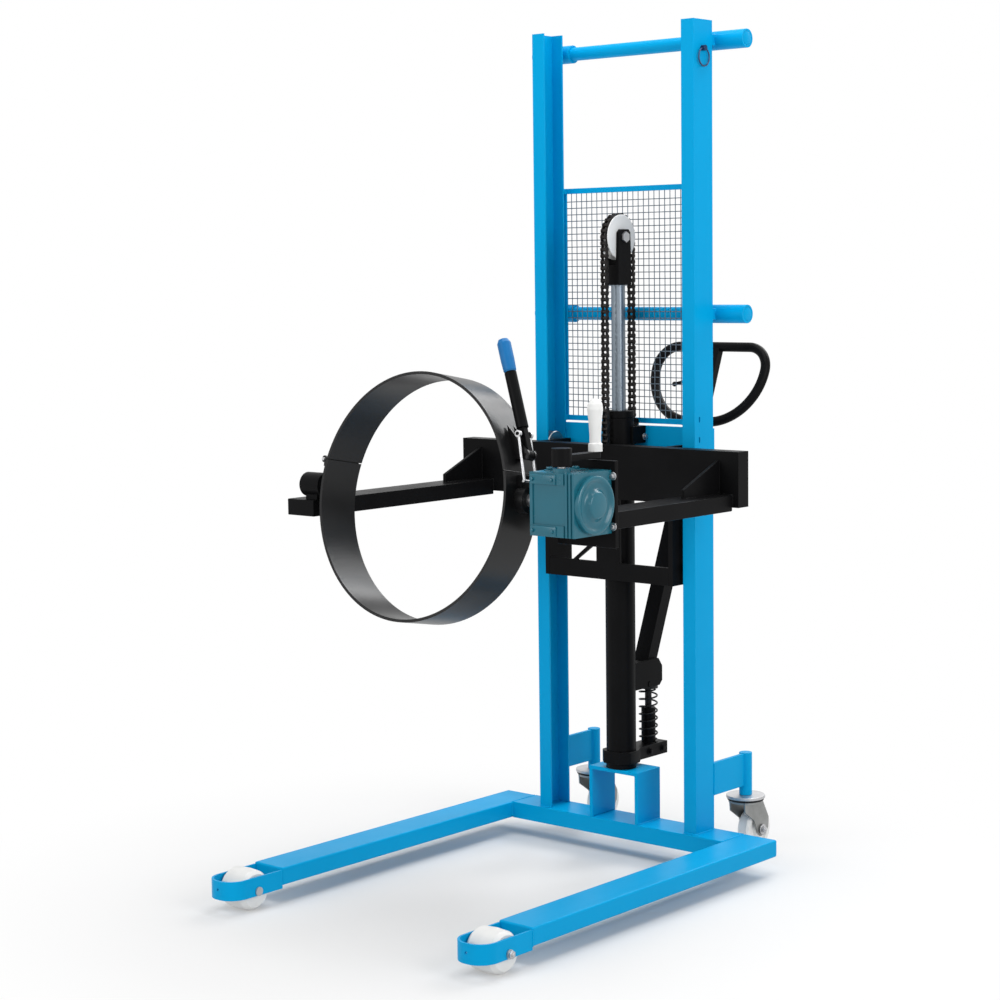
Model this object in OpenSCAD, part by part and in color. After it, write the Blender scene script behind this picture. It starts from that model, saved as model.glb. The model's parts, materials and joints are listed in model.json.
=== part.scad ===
// Drum lifter: a hand-pumped mast lift whose carriage carries a tilting hoop for a 210 litre drum.
// Millimetres, +Z up, legs towards -Y. Origin on the floor, midway between the posts.

/* [Base] */
// Width over the two legs
base_width = 896; // [860:2:980]
// Width of a leg tube
leg_width = 100; // [90:1:110]
// Height of the leg and crossbar tubes
leg_height = 44; // [40:1:50]
// Height of the base's top face above the floor
leg_top = 90; // [84:1:100]
// Wall of the base tubes
tube_wall = 4; // [3:0.5:5]
// Depth of the crossbar, front to back
crossbar_depth = 100; // [96:1:120]
// How far the crossbar reaches behind the middle of the posts
base_rear = 48; // [44:1:56]
// From the middle of the posts to the open end of a leg tube
leg_reach = 918; // [800:2:1000]

/* [Front rollers] */
// Diameter of a front roller
roller_d = 100; // [94:1:106]
// Length of a front roller
roller_width = 82; // [76:1:84]
// Diameter of a front roller's axle
roller_axle_d = 14; // [12:1:16]
// Thickness of the bent strap round a front roller
strap_t = 6; // [5:0.5:8]
// Height of the strap
strap_height = 46; // [42:1:50]
// How far the strap's top lies below the top of the leg
strap_drop = 5; // [2:1:6]

/* [Mast] */
// Height of the posts' top above the floor
mast_top = 2147; // [2120:1:2200]
// Depth of a post's channel section
channel_depth = 80; // [76:1:90]
// Flange width of a post's channel section
channel_flange = 38; // [34:1:44]
// Wall of a post's channel section
channel_wall = 5; // [4:0.5:6]
// Width over the outer faces of the posts
mast_width = 518; // [500:2:540]
// Diameter of the tie bars
bar_d = 35; // [30:1:38]
// Diameter of the sleeves on the ends of the tie bars
sleeve_d = 47; // [44:1:54]
// Length of a sleeve
sleeve_length = 124; // [100:2:140]
// Height of the upper tie bar
upper_bar_z = 2100; // [2060:1:2110]
// Height of the middle tie bar
middle_bar_z = 1417; // [1380:1:1460]
// Diameter of the lock pin
lock_pin_d = 10; // [8:1:12]

/* [Guard] */
// Height of the guard's lower edge
guard_bottom = 1133; // [1130:1:1160]
// Height of the guard's upper edge
guard_top = 1747; // [1700:1:1800]
// Width of the guard frame's strip
guard_strip = 14; // [10:1:18]
// Thickness of the guard frame's strip
guard_t = 4.8; // [4.8:0.1:6]
// Diameter of the mesh wire
wire_d = 2.2; // [1.6:0.1:2.4]
// Spacing of the mesh wires
wire_pitch = 17; // [14:0.5:24]

/* [Casters] */
// Diameter of a caster wheel
caster_d = 110; // [104:1:116]
// Width of a caster wheel
caster_width = 38; // [34:1:42]
// Height of a caster from the floor to its top plate
caster_height = 153; // [151:1:165]
// Diameter of a caster's top plate
caster_plate_d = 102; // [96:1:106]
// How far the wheel trails behind the swivel
caster_trail = 38; // [30:1:44]
// Diameter of a caster's axle
caster_axle_d = 12; // [10:1:14]
// From the middle of the posts to the swivel
caster_y = 190; // [184:1:210]
// Height of an outrigger plate
outrigger_height = 86; // [70:1:96]
// Height of the outrigger plate's top above the floor
outrigger_top = 264; // [254:1:280]
// Diameter of the outrigger's stem
stem_d = 34; // [30:1:38]
// Thickness of an outrigger plate
outrigger_t = 10; // [8:1:12]

/* [Lift] */
// From the middle of the posts forward to the lift axis
lift_offset = 15; // [15:0.5:16]
// Outer diameter of the lift cylinder
cylinder_d = 78; // [74:1:80]
// Bore of the lift cylinder
cylinder_bore = 56; // [50:1:60]
// Height of the lift cylinder's top
cylinder_top = 1150; // [1145:1:1170]
// Highest rise of the rod above the pose shown
rod_rise = 400; // [360:5:405]
// Height of the gland
gland_height = 19; // [14:1:24]
// Diameter of the rod
rod_d = 36; // [32:1:40]
// Height of the sheave's axle at rest
sheave_z = 1615; // [1590:1:1640]
// Diameter of the sheave's axle
sheave_axle_d = 20; // [16:1:22]
// Width of the sheave
sheave_width = 26; // [24:1:28]
// Pitch of the chain
chain_pitch = 15.875; // [15.5:0.125:16]
// Height of the chain's plates
chain_plate = 13; // [12:0.5:13.5]
// Diameter of the chain's pins
chain_pin_d = 5; // [4:0.25:5.5]

/* [Pump] */
// Width of the bridge under the pump
bridge_width = 160; // [150:1:180]
// Height of the bridge's top above the floor
bridge_top = 228; // [220:1:235]
// Thickness of the bridge's plate
bridge_t = 10; // [8:1:12]
// Height of the pump block
block_height = 47; // [40:1:55]
// From the lift axis back to the plunger
plunger_reach = 119; // [117:1:122]
// Diameter of the plunger
plunger_d = 18; // [14:1:20]
// Outer diameter of the return spring
spring_d = 52; // [50:1:54]
// Wire of the return spring
spring_wire = 5; // [4:0.5:6]
// Turns of the return spring
spring_turns = 7; // [6:1:9]
// Height of the handle's pivot above the floor
pivot_z = 440; // [430:1:460]
// From the handle's pivot to its press roller
press_arm = 40; // [38:1:44]
// Lean of the handle at rest
handle_lean = 21.5; // [18:0.5:24]
// Width of the handle tube
handle_width = 46; // [42:1:47]
// Depth of the handle tube
handle_depth = 38; // [34:1:40]
// Length from the pivot to the bottom of the handle loop
handle_length = 730; // [680:2:760]
// Width of the handle loop between bar centres
loop_width = 360; // [320:2:400]
// Diameter of the loop's bar
loop_bar_d = 26; // [22:1:30]

/* [Carriage] */
// Height of the beam
beam_height = 137; // [130:1:145]
// Depth of the beam
beam_depth = 43; // [38:1:46]
// Height of the beam's top at rest
beam_top = 1087; // [1080:1:1095]
// Width of an arm's tube
arm_width = 90; // [84:1:92]
// Height of an arm's tube
arm_height = 40; // [36:1:42]
// From the ends of the beam to the middle of an arm
arm_inset = 62; // [58:1:64]
// Thickness of the side plates
side_plate_t = 14; // [12:1:16]
// Clear width between the side plates
side_plate_gap = 390; // [380:2:394]
// Width of a carriage roller
carriage_roller_width = 26; // [22:1:28]
// Diameter of a carriage roller's stub axle
stub_d = 25; // [20:1:28]
// Height of the lower bar's underside at rest
lower_bar_z = 731; // [715:1:740]
// Height of the lower bar
lower_bar_height = 46; // [44:1:56]

/* [Hoop] */
// Outer diameter of the hoop
hoop_d = 588; // [584:1:590]
// Thickness of the hoop's band
hoop_t = 7; // [6:0.5:8]
// Width of the hoop's band
hoop_width = 115; // [110:1:122]
// From the outside of the hoop to the side of each arm
hoop_room = 47; // [46:0.5:52]
// From the middle of the posts to the tilt axis
tilt_y = 755; // [750:1:765]
// Height of the tilt axis above the arm's top
tilt_rise = 35; // [33:0.5:37]
// How far the hoop hangs below the tilt axis
hoop_drop = 14; // [10:1:16]
// Tilt of the hoop in the pose shown, its top to the back
hoop_tilt = 10; // [0:1:20]
// Height of the hoop's split above its middle
split_rise = 75; // [72:1:78]
// Diameter of the trunnion and output shaft
shaft_d = 30; // [26:1:32]
// Diameter of the hinge pin
hinge_pin_d = 8; // [6:1:9]
// Length of the latch lever from its pivot
latch_length = 285; // [260:1:300]

/* [Tilt drive] */
// Module of the worm gear
gear_module = 2.25; // [2.25:0.05:2.3]
// Teeth of the worm wheel
wheel_teeth = 30; // [30:1:31]
// Width of the worm wheel
wheel_width = 18; // [16:1:20]
// Width of the gearbox along the tilt axis
gearbox_width = 126; // [122:1:130]
// Depth of the gearbox, front to back
gearbox_depth = 133; // [132:1:136]
// Height of the gearbox
gearbox_height = 142; // [138:1:148]
// From the middle of the right arm out to the middle of the worm wheel
wheel_offset = 61; // [60:1:64]
// Diameter of the worm shaft's upper end
worm_shaft_d = 18; // [16:1:20]
// Radius of the crank
crank_radius = 120; // [110:1:121]
// Diameter of the crank's grip
grip_d = 36; // [32:1:38]
// Height of the crank's grip
grip_height = 118; // [100:1:130]

/* [Fits] */
// Radial clearance of a pin or shaft in its bore
fit = 0.05; // [0.02:0.01:0.1]
// Gap between moving faces
gap = 0.5; // [0.3:0.1:0.8]

/* [Hidden] */
$fn = 48;

paint = "deepskyblue";
black = "#1c1c1e";
nylon = "whitesmoke";
zinc = "silver";
casting = "#2a7484";

// Base and mast derived places
leg_bottom = leg_top - leg_height;
leg_x = (base_width - leg_width) / 2;
post_x = mast_width / 2;
post_in = post_x - channel_flange;
post_face = channel_depth / 2;
roller_gap = 30;
strap_low = leg_top - strap_drop - strap_height;
roller_z = roller_d / 2;
roller_y = -(leg_reach + roller_d / 2 + roller_gap);
strap_front = roller_y - roller_d / 2 - roller_gap - strap_t;
strap_corner = leg_width / 2 - 4;
guard_half = post_x - 24;
back_plate_t = 6;
back_plate_low = 1040;
back_plate_high = guard_bottom - 5;
caster_x = post_x - outrigger_t / 2;

// Lift derived places
lift_y = -lift_offset;
chain_links_round = 11;
sheave_r = chain_pitch / 2 / sin(90 / chain_links_round);
front_y = lift_y - sheave_r;
rear_y = lift_y + sheave_r;
front_links = 2 * floor((sheave_z - beam_top + beam_height - 80) / (2 * chain_pitch));
rear_links = 2 * floor((sheave_z - back_plate_high - 10) / (2 * chain_pitch));
front_end_z = sheave_z - front_links * chain_pitch;
rear_end_z = sheave_z - rear_links * chain_pitch;
chain_clear = 1.7;
guard_front = rear_y + chain_plate / 2 + chain_clear;
tie_bar_y = guard_front + guard_t + sleeve_d / 2 + gap;
chain_roller_d = chain_plate * 0.76;
chain_plate_t = 2;
chain_inner = 4.8;
chain_outer = chain_inner + chain_plate_t + 0.2;
chain_half = chain_outer + chain_plate_t;
cheek_t = 9;
cheek_in = sheave_width / 2 + 1;
fork_half = cheek_in + cheek_t;
fork_depth = 54;
fork_block = 51;
fork_floor = sheave_z - sheave_r - chain_plate / 2 - 9;
fork_low = fork_floor - fork_block;
fork_high = sheave_z + 20;
block_foot = 14;
block_top = bridge_top + block_height;
plunger_y = lift_y + plunger_reach;
pivot_y = plunger_y - press_arm + 4;
press_y = pivot_y + press_arm;
press_r = 10;
cap_top = pivot_z - press_r - 0.3;
cap_t = 8;
barrel_top = block_top + 95;
gland_spigot = 30;
piston_t = 40;
piston_low = cylinder_top - gland_spigot - piston_t - rod_rise - 10;
pivot_d = 16;

// Carriage derived places
beam_low = beam_top - beam_height;
beam_back = chain_plate / 2 + chain_clear - front_y;
beam_front = beam_back + beam_depth;
arm_x = hoop_d / 2 + hoop_room + arm_width / 2;
beam_half = arm_x + arm_inset;
arm_low = beam_low - 9;
arm_top = arm_low + arm_height;
plate_in = side_plate_gap / 2;
plate_out = plate_in + side_plate_t;
carriage_roller_d = channel_depth - 2 * channel_wall - 2 * gap;
carriage_roller_x = post_in + 2;
upper_roller_z = beam_top - 15;
lower_roller_z = lower_bar_z + 38;
lower_bar_t = 10;
lower_bar_back = -lift_y + cylinder_d / 2 + 3.5;
lower_bar_front = lower_bar_back + lower_bar_t;
lower_bar_top = lower_bar_z + lower_bar_height;

// Hoop and drive derived places
tilt_z = arm_top + tilt_rise;
hoop_z = tilt_z - hoop_drop;
hoop_r = hoop_d / 2;
hoop_in = hoop_r - hoop_t;
split_z = hoop_z + split_rise;
hinge_x = -(sqrt(pow(hoop_r, 2) - pow(split_rise, 2)) + 9);
boss_d = 60;
boss_reach = hoop_r + 24;
worm_q = 10;
centre_distance = gear_module * (wheel_teeth + worm_q) / 2;
wheel_r = gear_module * wheel_teeth / 2;
worm_r = gear_module * worm_q / 2;
worm_y = -tilt_y - centre_distance;
wheel_x = arm_x + wheel_offset;
plate_front = -tilt_y + 67;
drive_plate_t = 12;
gearbox_left = wheel_x - gearbox_width / 2 - 12;
gearbox_right = gearbox_left + gearbox_width;
gearbox_low = tilt_z + 2 - gearbox_height / 2;
gearbox_high = gearbox_low + gearbox_height;
gearbox_front = plate_front - gearbox_depth;
cover_t = 9;
cover_d = gearbox_depth - 3;
boss_rise = 9;
crank_z = gearbox_high + 24;
crank_t = 14;

// Latch places in the hoop's plane, measured from the hoop's middle
latch_u = hoop_r + 6;
latch_v = split_rise + 41;
lever_angle = 23;
bail_pin_reach = 50;
bail_u = latch_u - bail_pin_reach * sin(lever_angle);
bail_v = latch_v + bail_pin_reach * cos(lever_angle);
bail_half = 20.5;
bail_wire = 7;
catch_v = split_rise - 19;
catch_u = hoop_r + 18;

// A round bar along X, centred on its middle
module bar_x(d, length) {
    rotate([0, 90, 0]) cylinder(d = d, h = length, center = true);
}

// A round bar along Y, centred on its middle
module bar_y(d, length) {
    rotate([90, 0, 0]) cylinder(d = d, h = length, center = true);
}

// A box given by its lowest and highest corners
module span(low, high) {
    translate(low) cube(high - low);
}

// A copy on each side of the machine
module both_sides() {
    children();
    mirror([1, 0, 0]) children();
}

// Turns a child with the hoop about the tilt axis
module tilted() {
    translate([0, -tilt_y, tilt_z]) rotate([-hoop_tilt, 0, 0]) translate([0, tilt_y, -tilt_z]) children();
}

// A flat profile drawn in (Y, Z), made t thick along X about x = 0
module plate_x(t) {
    rotate([90, 0, 90]) translate([0, 0, -t / 2]) linear_extrude(t) children();
}

// A flat profile drawn in (X, Z), made t thick along Y about y = 0
module plate_y(t) {
    rotate([90, 0, 0]) translate([0, 0, -t / 2]) linear_extrude(t) children();
}

// The outline round two circles that stand on the Y axis
module link_outline(r1, y1, r2, y2) {
    turn = asin((r1 - r2) / (y2 - y1));
    translate([0, y1]) circle(r1);
    translate([0, y2]) circle(r2);
    polygon([
        [r1 * cos(turn), y1 + r1 * sin(turn)],
        [r2 * cos(turn), y2 + r2 * sin(turn)],
        [-r2 * cos(turn), y2 + r2 * sin(turn)],
        [-r1 * cos(turn), y1 + r1 * sin(turn)]
    ]);
}

// The crossbar is a closed tube between the legs
module base_crossbar() {
    half = leg_x - leg_width / 2;
    color(paint) difference() {
        span([-half, base_rear - crossbar_depth, leg_bottom], [half, base_rear, leg_top]);
        span([-half - 1, base_rear - crossbar_depth + tube_wall, leg_bottom + tube_wall],
             [half + 1, base_rear - tube_wall, leg_top - tube_wall]);
    }
}

// The legs are tubes with a welded plate in the front end
module base_legs() {
    color(paint) both_sides() translate([leg_x, 0, 0]) difference() {
        span([-leg_width / 2, -leg_reach, leg_bottom], [leg_width / 2, base_rear, leg_top]);
        span([-leg_width / 2 + tube_wall, -leg_reach + tube_wall, leg_bottom + tube_wall],
             [leg_width / 2 - tube_wall, base_rear - tube_wall, leg_top - tube_wall]);
    }
}

// The plan of a roller strap: a flat bar bent round the roller
module strap_plan(inset) {
    half = leg_width / 2 - inset;
    corner = strap_corner - inset;
    tip = strap_front + inset;
    translate([-half, tip + corner]) square([2 * half, -leg_reach - tip - corner]);
    translate([-half + corner, tip]) square([2 * (half - corner), corner]);
    for (side = [-1, 1]) translate([side * (half - corner), tip + corner]) circle(corner);
}

module roller_straps() {
    color(paint) both_sides() translate([leg_x, 0, strap_low]) difference() {
        linear_extrude(strap_height) difference() {
            strap_plan(0);
            strap_plan(strap_t);
            translate([-leg_width / 2 + strap_t, -leg_reach - strap_corner])
                square([leg_width - 2 * strap_t, strap_corner + 1]);
        }
        translate([0, roller_y, roller_z - strap_low]) bar_x(roller_axle_d + 2 * fit, leg_width + 2);
    }
}

module roller_axles() {
    head = 4;
    color(zinc) both_sides() translate([leg_x, roller_y, roller_z]) {
        bar_x(roller_axle_d, leg_width);
        for (side = [-1, 1]) translate([side * (leg_width + head) / 2, 0, 0]) bar_x(roller_axle_d + 8, head);
    }
}

// A crowned nylon roller
module front_roller(side) {
    crown = 2;
    edge = 10;
    outline = [
        [roller_axle_d / 2 + fit, -roller_width / 2],
        [roller_d / 2 - edge, -roller_width / 2],
        [roller_d / 2 - crown, -roller_width / 2 + edge],
        [roller_d / 2, 0],
        [roller_d / 2 - crown, roller_width / 2 - edge],
        [roller_d / 2 - edge, roller_width / 2],
        [roller_axle_d / 2 + fit, roller_width / 2]
    ];
    color(nylon) translate([side * leg_x, roller_y, roller_z]) rotate([0, 90, 0])
        rotate_extrude() polygon(outline);
}

module left_front_roller() {
    front_roller(-1);
}

module right_front_roller() {
    front_roller(1);
}

// The posts are channels that open towards each other, with two small slots in the right one
module mast_posts() {
    color(paint) difference() {
        both_sides() difference() {
            span([post_in, -post_face, leg_top], [post_x, post_face, mast_top]);
            span([post_in - 1, -post_face + channel_wall, leg_top - 1],
                 [post_x - channel_wall, post_face - channel_wall, mast_top + 1]);
            translate([post_x, -4, upper_bar_z - 24]) bar_x(lock_pin_d + 2 * fit, 4 * channel_wall);
        }
        for (z = [back_plate_high - 26, back_plate_high + 25])
            translate([post_x, -19, z]) cube([4 * channel_wall, 5, 14], center = true);
    }
}

module tie_bars() {
    color(paint) for (z = [middle_bar_z, upper_bar_z])
        translate([0, tie_bar_y, z]) bar_x(bar_d, 2 * (post_x + sleeve_length - channel_flange - 10));
}

// A sleeve is welded behind the post through a saddle block
module bar_sleeves() {
    middle = post_in - 6 + sleeve_length / 2;
    saddle_in = guard_half + 1;
    saddle_out = post_x - 4;
    color(paint) both_sides() for (z = [middle_bar_z, upper_bar_z]) difference() {
        union() {
            translate([middle, tie_bar_y, z]) bar_x(sleeve_d, sleeve_length);
            span([saddle_in, post_face, z - 14], [saddle_out, tie_bar_y, z + 14]);
        }
        translate([middle, tie_bar_y, z]) bar_x(bar_d + 2 * fit, sleeve_length + 2);
    }
}

// The lock pin stands in the right post's web
module lock_pin() {
    head_d = 14;
    head_t = 12;
    reach = 24;
    color(zinc) translate([post_x, -4, upper_bar_z - 24]) difference() {
        union() {
            translate([(head_t - reach) / 2, 0, 0]) bar_x(lock_pin_d, head_t + reach);
            translate([head_t / 2, 0, 0]) bar_x(head_d, head_t);
        }
        translate([lock_ring_x - post_x, 0, 0]) bar_y(ring_wire + 3, head_d + 2);
    }
}

ring_wire = 4;
ring_r = 22;
lock_ring_x = post_x + 6.5;

module lock_ring() {
    color(zinc) translate([lock_ring_x, -4, upper_bar_z - 24 - ring_r]) rotate([0, 90, 0])
        rotate_extrude() translate([ring_r, 0]) circle(d = ring_wire);
}

// The back plate ties the posts together behind the cylinder
module back_plate() {
    color(paint)
        span([-post_x, post_face, back_plate_low], [post_x, post_face + back_plate_t, back_plate_high]);
}

// The guard frame is a strip ring that stands off the posts on four tabs
module guard_frame() {
    color(paint) {
        difference() {
            span([-guard_half, guard_front, guard_bottom], [guard_half, guard_front + guard_t, guard_top]);
            span([-guard_half + guard_strip, guard_front - 1, guard_bottom + guard_strip],
                 [guard_half - guard_strip, guard_front + guard_t + 1, guard_top - guard_strip]);
        }
        both_sides() for (z = [guard_bottom, guard_top - guard_strip])
            span([guard_half - guard_strip, post_face, z], [guard_half, guard_front, z + guard_strip]);
    }
}

// Welded mesh: upright wires in front, level wires behind, all ending at the frame's strip
module guard_mesh() {
    width = 2 * (guard_half - guard_strip);
    low = guard_bottom + guard_strip;
    height = guard_top - guard_strip - low;
    columns = floor(width / wire_pitch) - 1;
    rows = floor(height / wire_pitch) - 1;
    level_y = guard_front + wire_d * 1.5 + 0.12;
    color("slategray") {
        for (i = [0 : columns - 1])
            translate([(i - (columns - 1) / 2) * wire_pitch, guard_front + wire_d / 2 + 0.1, low])
                cylinder(d = wire_d, h = height, $fn = 16);
        for (i = [0 : rows - 1])
            translate([0, level_y, low + height / 2 + (i - (rows - 1) / 2) * wire_pitch])
                rotate([0, 90, 0]) cylinder(d = wire_d, h = width, center = true, $fn = 16);
    }
}

// Each outrigger is an upright plate behind its post, with a round stem for its caster
module outriggers() {
    color(paint) both_sides() {
        span([post_x - outrigger_t, post_face, outrigger_top - outrigger_height],
             [post_x, caster_y, outrigger_top]);
        translate([caster_x, caster_y, caster_height])
            cylinder(d = stem_d, h = outrigger_top + 2 - caster_height);
    }
}

caster_plate_t = 8;
dust_ring_t = 6;
king_pin_d = 14;
fork_top = caster_height - caster_plate_t - dust_ring_t - gap;
fork_plate_t = 5;
fork_cheek_t = 4;
fork_in = caster_width / 2 + 2;

// Round top plate with the king pin under it
module caster_plates() {
    color(zinc) both_sides() translate([caster_x, caster_y, 0]) {
        translate([0, 0, caster_height - caster_plate_t]) cylinder(d = caster_plate_d, h = caster_plate_t);
        translate([0, 0, fork_top - fork_plate_t - 4])
            cylinder(d = king_pin_d, h = caster_height - caster_plate_t - fork_top + fork_plate_t + 4);
    }
}

module dust_rings() {
    color(black) both_sides() translate([caster_x, caster_y, caster_height - caster_plate_t - dust_ring_t])
        difference() {
            cylinder(d = caster_plate_d - 6, h = dust_ring_t);
            translate([0, 0, -1]) cylinder(d = king_pin_d + 2 * fit, h = dust_ring_t + 2);
        }
}

// A pressed fork: round top, two broad cheeks, riveted axle
module caster_fork(side) {
    wide = 40;
    hub_z = caster_d / 2;
    cheek_x = fork_in + fork_cheek_t / 2;
    color(zinc) translate([side * caster_x, caster_y, 0]) difference() {
        union() {
            translate([0, 0, fork_top - fork_plate_t]) cylinder(d = caster_plate_d - 12, h = fork_plate_t);
            for (x = [-cheek_x, cheek_x]) translate([x, 0, 0]) plate_x(fork_cheek_t)
                polygon([
                    [-wide, fork_top],
                    [wide, fork_top],
                    [caster_trail + 33, hub_z + 28],
                    [caster_trail + 31, hub_z],
                    [caster_trail + 18, hub_z - 16],
                    [caster_trail - 4, hub_z - 18],
                    [caster_trail - 20, hub_z - 4],
                    [caster_trail - 34, hub_z + 30],
                    [-wide + 3, fork_top - 26]
                ]);
            translate([0, caster_trail, hub_z]) {
                bar_x(caster_axle_d, 2 * (fork_in + fork_cheek_t + 3));
                for (end = [-1, 1]) translate([end * (fork_in + fork_cheek_t + 2), 0, 0]) bar_x(20, 4);
            }
        }
        translate([0, 0, fork_top - fork_plate_t - 1])
            cylinder(d = king_pin_d + 2 * fit, h = fork_plate_t + 2);
    }
}

module left_caster_fork() {
    caster_fork(-1);
}

module right_caster_fork() {
    caster_fork(1);
}

// A one-piece nylon wheel with a dished side and a hub
module caster_wheel(side) {
    half = caster_width / 2;
    hub_r = 20;
    rim_r = caster_d / 2 - 16;
    dish = 7;
    round_edge = 5;
    outline = [
        [caster_axle_d / 2 + fit, -half], [hub_r, -half], [hub_r + 2, -half + dish],
        [rim_r - 2, -half + dish],
        [rim_r, -half + 2], [caster_d / 2 - round_edge, -half + 2], [caster_d / 2, -half + 2 + round_edge],
        [caster_d / 2, half - 2 - round_edge], [caster_d / 2 - round_edge, half - 2], [rim_r, half - 2],
        [rim_r - 2, half - dish], [hub_r + 2, half - dish], [hub_r, half], [caster_axle_d / 2 + fit, half]
    ];
    color(nylon) translate([side * caster_x, caster_y + caster_trail, caster_d / 2]) rotate([0, 90, 0])
        rotate_extrude() polygon(outline);
}

module left_caster_wheel() {
    caster_wheel(-1);
}

module right_caster_wheel() {
    caster_wheel(1);
}

// The bridge is a plate bent into an upside-down U over the crossbar
module pump_bridge() {
    front = base_rear - crossbar_depth;
    color(paint) difference() {
        span([-bridge_width / 2, front, leg_top], [bridge_width / 2, base_rear, bridge_top]);
        span([-bridge_width / 2 + bridge_t, front - 1, leg_top - 1],
             [bridge_width / 2 - bridge_t, base_rear + 1, bridge_top - bridge_t]);
    }
}

// Cast pump block on a round foot: chamfered at the cylinder, square at the plunger, barrel on top
module pump_block() {
    half = cylinder_d / 2 + 7;
    front = -lower_bar_back + 1;
    tail_half = spring_d / 2 + 3;
    tail = plunger_y + spring_d / 2 + 20;
    chamfer = 20;
    color(black) difference() {
        union() {
            translate([0, lift_y, bridge_top]) cylinder(d = cylinder_d + 2, h = block_foot + 1);
            translate([0, 0, bridge_top + block_foot]) linear_extrude(block_height - block_foot) polygon([
                [-half + chamfer, front], [half - chamfer, front], [half, front + chamfer],
                [half, lift_y + chamfer], [tail_half, lift_y + half], [tail_half, tail],
                [-tail_half, tail], [-tail_half, lift_y + half], [-half, lift_y + chamfer],
                [-half, front + chamfer]
            ]);
            translate([0, plunger_y, block_top - 1])
                cylinder(d = spring_d - 2 * spring_wire - 4, h = barrel_top - block_top + 1);
        }
        translate([0, plunger_y, bridge_top + block_foot + 4])
            cylinder(d = plunger_d + 2 * fit, h = barrel_top);
    }
}

// Closed tube that stands on the pump block
module lift_cylinder() {
    color(black) translate([0, lift_y, block_top]) difference() {
        cylinder(d = cylinder_d, h = cylinder_top - block_top);
        translate([0, 0, 12]) cylinder(d = cylinder_bore, h = cylinder_top);
    }
}

module cylinder_gland() {
    color(black) translate([0, lift_y, cylinder_top]) difference() {
        union() {
            cylinder(d = cylinder_d, h = gland_height);
            translate([0, 0, -gland_spigot]) cylinder(d = cylinder_bore - 2 * fit, h = gland_spigot);
        }
        translate([0, 0, -gland_spigot - 1])
            cylinder(d = rod_d + 2 * fit, h = gland_height + gland_spigot + 2);
    }
}

anchor_half = 45;
ear_in = chain_half + 2;
ear_t = 6;
ear_r = 7.5;

// Clamp block that holds the cylinder to the back plate and the chain's rear end
module chain_anchor() {
    low = back_plate_high - 44;
    color(black) {
        difference() {
            span([-anchor_half, lift_y, low], [anchor_half, post_face, back_plate_high]);
            translate([0, lift_y, low - 1]) cylinder(d = cylinder_d + 2 * fit, h = 60);
        }
        for (side = [-1, 1]) translate([side * (ear_in + ear_t / 2), 0, 0]) plate_x(ear_t) {
            translate([rear_y, rear_end_z]) circle(ear_r);
            translate([rear_y - ear_r - 8, back_plate_high])
                square([2 * ear_r + 8, rear_end_z - back_plate_high]);
        }
        translate([0, rear_y, rear_end_z]) bar_x(chain_pin_d, 2 * (ear_in + ear_t));
    }
}

bracket_half = 24;
bracket_in = bracket_half + 1.5;
bracket_out = bracket_in + 8;

// Two cheeks and a saddle on the cylinder's back that carry the handle's pivot
module handle_bracket() {
    low = cap_top + 2.3;
    high = pivot_z + 65;
    tail = press_y + 14;
    root = lift_y + 12;
    color(black) difference() {
        union() {
            both_sides() translate([(bracket_in + bracket_out) / 2, 0, 0]) plate_x(bracket_out - bracket_in)
                polygon([
                    [root, low], [tail - 12, low], [tail, low + 12],
                    [tail, high - 22], [tail - 16, high], [root, high]
                ]);
            span([-bracket_out, root, low], [bracket_out, pivot_y - 26, high]);
        }
        translate([0, pivot_y, pivot_z]) bar_x(pivot_d + 2 * fit, 2 * bracket_out + 2);
        translate([0, lift_y, low - 1]) cylinder(d = cylinder_d + 2 * fit, h = high - low + 2);
    }
}

// Places a child in the handle's own frame: pivot at the origin, tube along +Z
module handle_frame() {
    translate([0, pivot_y, pivot_z]) rotate([-handle_lean, 0, 0]) children();
}

root_z = 40;
handle_wall = 3;

// Handle tube on a root that turns between the bracket's cheeks and presses the plunger with its nose
module handle_tube() {
    top = handle_length - loop_bar_d / 2;
    color(black) {
        translate([0, pivot_y, pivot_z]) plate_x(2 * bracket_half) {
            circle(13);
            translate([press_arm, 0]) circle(press_r);
            polygon([[0, -9], [press_arm, -8], [press_arm, 8], [0, 12]]);
            rotate(-handle_lean) translate([-12, 0]) square([24, root_z + 10]);
        }
        translate([0, pivot_y, pivot_z]) bar_x(pivot_d, 2 * bracket_out + 4);
        handle_frame() difference() {
            span([-handle_width / 2, -handle_depth / 2, root_z], [handle_width / 2, handle_depth / 2, top]);
            span([-handle_width / 2 + handle_wall, -handle_depth / 2 + handle_wall, root_z + 12],
                 [handle_width / 2 - handle_wall, handle_depth / 2 - handle_wall, top - handle_wall]);
        }
    }
}

top_corner = 65;
side_bend = 150;
loop_top = handle_length + side_bend + top_corner;

// A quarter bend of the loop's bar in the (X, Z) plane, from +X round to +Z
module loop_bend(r, start) {
    rotate([90, 0, 0]) rotate(start) rotate_extrude(angle = 90)
        translate([r, 0]) circle(d = loop_bar_d, $fn = 32);
}

// Steering loop: flat top, tight upper corners, wide lower bends and a stem between
module handle_loop() {
    half = loop_width / 2;
    stem_t = 22;
    color(black) handle_frame() {
        translate([0, 0, loop_top]) bar_x(loop_bar_d, 2 * (half - top_corner));
        translate([0, 0, handle_length]) bar_x(loop_bar_d, 2 * (half - side_bend));
        both_sides() {
            translate([half - top_corner, 0, loop_top - top_corner]) loop_bend(top_corner, 0);
            translate([half - side_bend, 0, handle_length + side_bend]) loop_bend(side_bend, -90);
        }
        span([-handle_width / 2, -stem_t / 2, handle_length], [handle_width / 2, stem_t / 2, loop_top]);
    }
}

lever_z = handle_length + 122;
lever_reach = 86;
lever_d = 9;

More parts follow.
